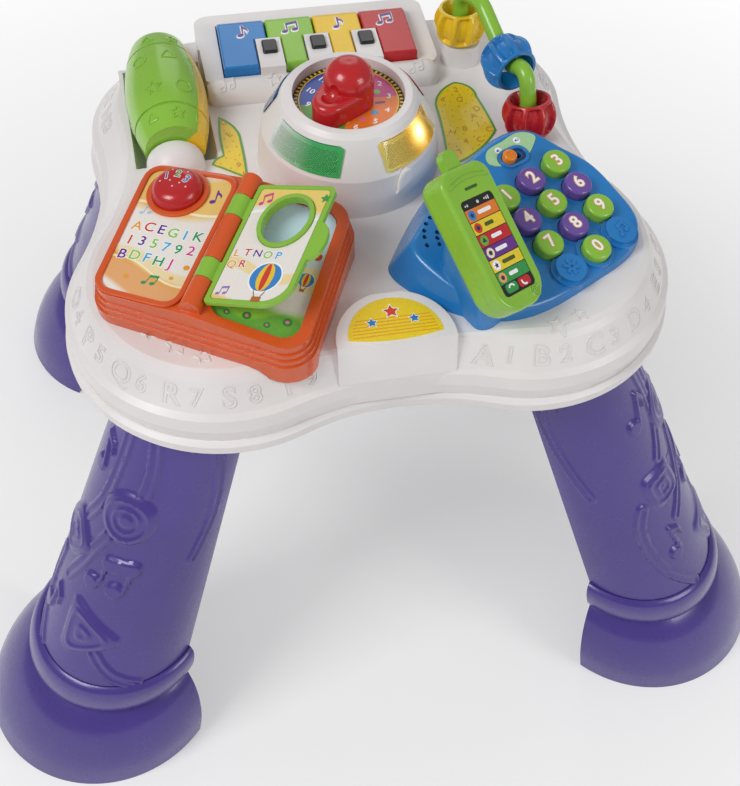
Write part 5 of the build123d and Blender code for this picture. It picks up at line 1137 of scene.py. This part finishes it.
def screen():
    """Coloured rows with plain pictures and bars on the handset's screen."""
    art = Art(moved(handset, z=-0.3))
    for number, (colour, badge, bar, picture) in enumerate(SCREEN_ROWS):
        y = SCREEN_TOP - number * SCREEN_ROW
        art.mark(box(0, y, 22.4, 6.3), colour)
        art.mark(circle(BADGE_X, y, 2.6), badge, SECOND)
        loops = {"star": star(BADGE_X, y, 1.6), "dot": circle(BADGE_X, y, 1.2),
                 "triangle": triangle(BADGE_X, y, 1.7, 0, 0.4)}
        art.mark(loops[picture], "3A2A4A", THIRD)
        art.mark(box(1.6 - number % 2, y + 0.2, 9.5 - (number * 7) % 4, 2.0, 0.9), bar, SECOND)
    for x, height in STATUS_BARS:
        art.mark(box(x, STATUS_Y, 0.8, height), "D8D8D8")
    art.mark(circle(0, STATUS_Y, 0.9, count=14), "D8D8D8")
    receiver = ribbon(arc(0, -0.5, 2.0, 2.0, 20, 161, 14), 1.0)
    for x, colour, turn in CALL_KEYS:
        art.mark(box(x, -STATUS_Y, 8.6, 4.8, 1.8), colour)
        art.mark(placed(receiver, x, -STATUS_Y, 1.0, turn), "FFFFFF", SECOND)
    art.piece("screen_print", "handset")


RIDGES = ((35.4, 0.012, 14), (38.0, 0.016, 12))    # middle, bend and half length


def handset_marks():
    """Painted shade of the earpiece slot, ridges and the round ridged bump of the handset."""
    green = finishes["green"]
    art = Art(handset, ("handset_front",))
    # painted shade: a dark green mark stands for the earpiece slot's shaded opening
    art.mark(box(0, 30.2, 9.0, 1.5, 0.7), "3E5E1C", step=1.5)
    for middle, bend, half in RIDGES:
        ridge = [(x, middle - bend * x * x) for x in range(-half, half + 1, 2)]
        art.shape([ribbon(ridge, 0.7)], green, base=RAISED, thick=0.75, bevel=0.2, step=2.0)
    for radius in (3.4, 2.2, 1.0):
        art.shape([circle(8.6, -29.0, radius, count=24)], green, outline=0.4, step=1.5)
    art.piece("handset_marks", "handset")


SPEAKER_SIGNS = ((3.0, 43.8, 1), (17.0, 43.0, 2))  # place and number of sound waves
FIXED_BUTTONS = ((-22.9, -35.0, -2.0), (18.1, -35.0, -2.0))
SWITCH_SLOT = (Vector((3.5, 36.2)), Vector((10.5, 35.2)))      # where the volume switch slides


def phone_marks():
    """Speaker signs, painted shade on the floor of the volume switch's slot, and the raised signs on the two
    fixed buttons.
    """
    art = Art(moved(phone_top, z=0.4))
    half_body = [(-1.3, -0.45), (-0.6, -0.45), (0.1, -1.1)]
    for x, y, bars in SPEAKER_SIGNS:
        art.mark(circle(x, y, 2.1), "FFFFFF")
        body = half_body + [(px, -py) for px, py in reversed(half_body)]
        art.mark(placed(body, x, y), "2F5FB0", SECOND)
        for bar in range(bars):
            sound = arc(x + 0.3 + 0.6 * bar, y, 0.5, 0.7 + 0.35 * bar, -60, 61, 20)
            art.mark(ribbon(sound, 0.25), "2F5FB0", SECOND)
    art.piece("phone_signs", "table")

    start, end = SWITCH_SLOT
    middle = (start + end) / 2
    run = end - start
    loops = [box(middle.x, middle.y, run.length + 2 * r, 2 * r, r * 0.98, degrees(atan2(run.y, run.x)), 8)
             for r in (4.25, 2.2)]
    # painted shade: a dark blue layer on the slot's floor stands for the shade inside the recess
    slot = Art(phone_top)
    slot.shape(loops, ink("12356B"), base=0.32, thick=0.1)
    slot.piece("switch_slot_painted_shade", "table")

    raised = {"material": finishes["blue"], "base": RAISED, "thick": 1.1, "step": 1.5}
    signs = Art(moved(phone, *FIXED_BUTTONS[0]), ("phone_base",))
    for angle in (20, 80, 140):
        c = along(angle) * 4.4
        signs.shape([ribbon([(-c.x, -c.y), (0, 0), (c.x, c.y)], 1.3)], bevel=0.3, **raised)
    signs.plane = moved(phone, *FIXED_BUTTONS[1])
    signs.shape([note(0, 0, 1.25, 0, True)], bevel=0.25, **raised)
    signs.piece("bump_signs", "table")


def switch_ridges():
    """Ridges on the volume switch's knob."""
    art = Art(moved(phone_top, *SWITCH_SLOT[0], 5.0), ("switch_knob",))
    for radius in (2.2, 0.9):
        art.shape([circle(0, 0, radius, count=20)], finishes["switch_orange"], outline=0.32, step=1.0)
    art.piece("switch_ridges", "switch")


PIANO_PITCH = 29.5
PIANO_NOTES = (-4.0, 95.0, 324.0)  # middle of the row of printed notes, on top of the keys


def piano_prints():
    """Outlined notes on the piano keys."""
    for number, colour in enumerate(("blue", "green", "yellow", "red")):
        x = PIANO_NOTES[0] + (number - 1.5) * PIANO_PITCH
        art = Art(frame_of((x, *PIANO_NOTES[1:]), (1, 0, 0), (0, 0, 1)))
        loop = note(0, 0, 1.75, 0, number % 2 == 1)
        art.mark(loop, "FFFFFF", thick=0.1)
        art.mark(loop, "FFFFFF", -0.33, outline=0.75)
        art.mark(loop, "5A2C86", 0.62, 0.1)
        art.piece("piano_print_" + colour, "piano_" + colour)


BARREL_R = 23.0          # just outside the roller's green barrel
MARKS_ALONG = ((-34.0, 4.2), (-13.5, 5.2), (13.5, 5.2), (34.0, 4.2))     # place along the axis, size


def roller_marks():
    """Raised outlines on the roller's green barrel."""
    side = along(2.0)
    art = Art(Matrix.Identity(4), ("roller_green",))
    for number, angle in enumerate(range(238, 508, 44)):
        for row, (place, size) in enumerate(MARKS_ALONG):
            swing = radians(angle + 15 * (row % 2))
            out = side * cos(swing) - Vector((0, 0, 1)) * sin(swing)
            centre = roller_middle + roller_axis * place + out * BARREL_R
            art.plane = frame_of(centre, roller_axis.cross(out), out)
            loops = (triangle(0, 0, size), star(0, 0, size), circle(0, 0, size * 0.85))
            art.shape([loops[(number + row) % 3]], finishes["green"], outline=0.42, step=1.6)
    art.piece("roller_marks", "roller")


# Beads

WIRE_REAR = Vector((84.0, 71.0, 0.0))
WIRE_DIR = (Vector((108.0, -9.0, 0.0)) - WIRE_REAR).normalized()
BEAD_OUTER, BEAD_FACE, BEAD_HALF = 16.0, 12.5, 10.0
BEAD_BORE = ((1.0, 11.0), (0.5, 8.9), (0.0, 6.8), (-0.5, 8.9), (-1.0, 11.0))    # share of the half, radius
# Name, place along the wire's plane, height, turn of the axis, finish and slot
BEADS = (("bead_yellow", -3.3, 332.0, 96.0, "yellow", "toy_yellow"),
         ("bead_blue", 51.2, 340.2, 0.0, "blue", "piano_blue"),
         ("bead_red", 78.6, 322.0, 105.0, "red", "knob_red"))
BEAD_RIBS = 8
RIB_HALF = 0.7
RECESS = 3.4             # depth of the hollows between the ribs


def smooth(value):
    """Smooth step from 0 to 1."""
    value = min(max(value, 0.0), 1.0)
    return value * value * (3 - 2 * value)


def bead_radius(share, angle):
    """Outer radius of a bead: slanting ribs run between its two mouths, with broad hollows between them."""
    barrel = BEAD_OUTER - (BEAD_OUTER - BEAD_FACE) * share * share
    pitch = 2 * pi / BEAD_RIBS
    away = angle / pitch - 0.1 * share
    gap = abs(away - round(away)) * pitch * barrel
    edge = (1 - abs(share)) * BEAD_HALF
    return barrel - RECESS * smooth((gap - RIB_HALF) / 2.6) * smooth((edge - 0.7) / 2.2)


def make_beads():
    """Ribbed beads in place of the plain ones."""
    count, rows = BEAD_RIBS * 20, 34
    profile = [(2 * i / rows - 1, None) for i in range(rows + 1)] + list(BEAD_BORE)
    for name, across, up, turn, colour, slot in BEADS:
        axis = WIRE_DIR * cos(radians(turn)) + Vector((0, 0, sin(radians(turn))))
        centre = WIRE_REAR + WIRE_DIR * across + Vector((0, 0, up))
        plane = frame_of(centre, (WIRE_DIR.y, -WIRE_DIR.x, 0), axis)
        rings = []
        for share, bore in profile:
            ring = []
            for k in range(count):
                angle = 2 * pi * k / count
                reach = bore or bead_radius(share, angle)
                ring.append(plane @ Vector((reach * cos(angle), reach * sin(angle), share * BEAD_HALF)))
            rings.append(ring)
        made = ring_piece(rings, finishes[colour], name + "_ribbed", name, closed=True)
        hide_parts(name)


# Camera and light

TARGET = Vector((19.15, -4.21, 74.81))
AZIMUTH, ELEVATION, ROLL = -12.49, 52.69, 2.34
DISTANCE = 879.94
FOCAL_PIXELS = 1199.9
LONG_SIDE = 786.0        # pixels along the photo's long side
SENSOR = 36.0


def make_camera():
    """Camera at the photograph's viewing angle."""
    a, e, r = radians(AZIMUTH), radians(ELEVATION), radians(ROLL)
    back = Vector((sin(a) * cos(e), -cos(a) * cos(e), sin(e)))
    right = Vector((cos(a), sin(a), 0))
    up = back.cross(right)
    camera = bpy.data.objects.new("camera", bpy.data.cameras.new("camera"))
    camera.matrix_world = matrix_of(right * cos(r) + up * sin(r), up * cos(r) - right * sin(r), back,
                                    (TARGET + back * DISTANCE) * MM)
    camera.data.sensor_width = SENSOR
    camera.data.lens = FOCAL_PIXELS * SENSOR / LONG_SIDE
    bpy.context.collection.objects.link(camera)
    bpy.context.scene.camera = camera


AMBIENT = 0.36           # strength of the white surroundings as the object sees them
LAMPS = (("key_lamp", (-1.1, -0.5, 1.5), 0.7, 14.0), ("fill_lamp", (1.1, -1.0, 1.0), 0.6, 6.0),
         ("rear_lamp", (0.2, 1.4, 1.2), 0.9, 2.6))      # place and size in metres, watts


def soft_lamp(name, place, size, watts):
    """Large white area lamp that faces the table."""
    lamp = bpy.data.lights.new(name, "AREA")
    lamp.energy = watts
    lamp.size = size
    holder = bpy.data.objects.new(name, lamp)
    holder.location = place
    holder.rotation_mode = "QUATERNION"
    holder.rotation_quaternion = (Vector(place) - Vector((0, 0, 0.25))).to_track_quat("Z", "Y")
    bpy.context.collection.objects.link(holder)


def make_light():
    """Soft studio light, and a white backdrop where the camera sees past the floor."""
    for lamp in LAMPS:
        soft_lamp(*lamp)
    world = bpy.data.worlds.new("studio")
    world.use_nodes = True
    made = Nodes(world.node_tree)
    path = made.node("ShaderNodeLightPath").outputs
    seen = made.math("MAXIMUM", path["Is Camera Ray"], path["Is Transmission Ray"])
    made.fill(made.tree.nodes["Background"], Color=(1, 1, 1, 1),
              Strength=made.span(seen, 0.0, 1.0, AMBIENT, 1.0))
    bpy.context.scene.world = world
    bpy.context.scene.view_settings.view_transform = "Standard"


def make_floor():
    """Plain pale floor that keeps the object's shadow and fades to white far out."""
    mesh = bpy.data.meshes.new("floor")
    mesh.from_pydata([(-6, -6, 0), (6, -6, 0), (6, 6, 0), (-6, 6, 0)], [], [(0, 1, 2, 3)])
    floor = bpy.data.objects.new("floor", mesh)
    floor.location.z = -0.0005
    bpy.context.collection.objects.link(floor)
    made = Finish("floor")
    tone = made.blend(made.span(made.noise(3.0), 0.3, 0.7), (0.93, 0.93, 0.93, 1), (0.96, 0.96, 0.96, 1))
    made.fill(made.shader, Base_Color=tone, Roughness=0.9, Specular_IOR_Level=0.1)
    path = made.node("ShaderNodeLightPath").outputs
    seen = made.math("MAXIMUM", path["Is Camera Ray"], path["Is Glossy Ray"])
    reach = made.vector("LENGTH", made.place, output="Value")
    far = made.math("MULTIPLY", made.span(reach, 0.25, 0.75, 0.35, 1.0), seen)
    mix = made.node("ShaderNodeMixShader")
    for place, value in enumerate((far, made.shader.outputs[0], made.node("ShaderNodeEmission").outputs[0])):
        made.link(value, mix.inputs[place])
    made.link(mix.outputs[0], made.tree.nodes["Material Output"].inputs["Surface"])
    mesh.materials.append(made.material)


paint_cad()
band_marks()
deck_marks()
dome_boss()
make_legs()
digits_on_keys()
dial()
deck_prints()
plate_print()
book_prints()
button_marks()
screen()
handset_marks()
phone_marks()
switch_ridges()
piano_prints()
roller_marks()
make_beads()
make_camera()
make_light()
make_floor()
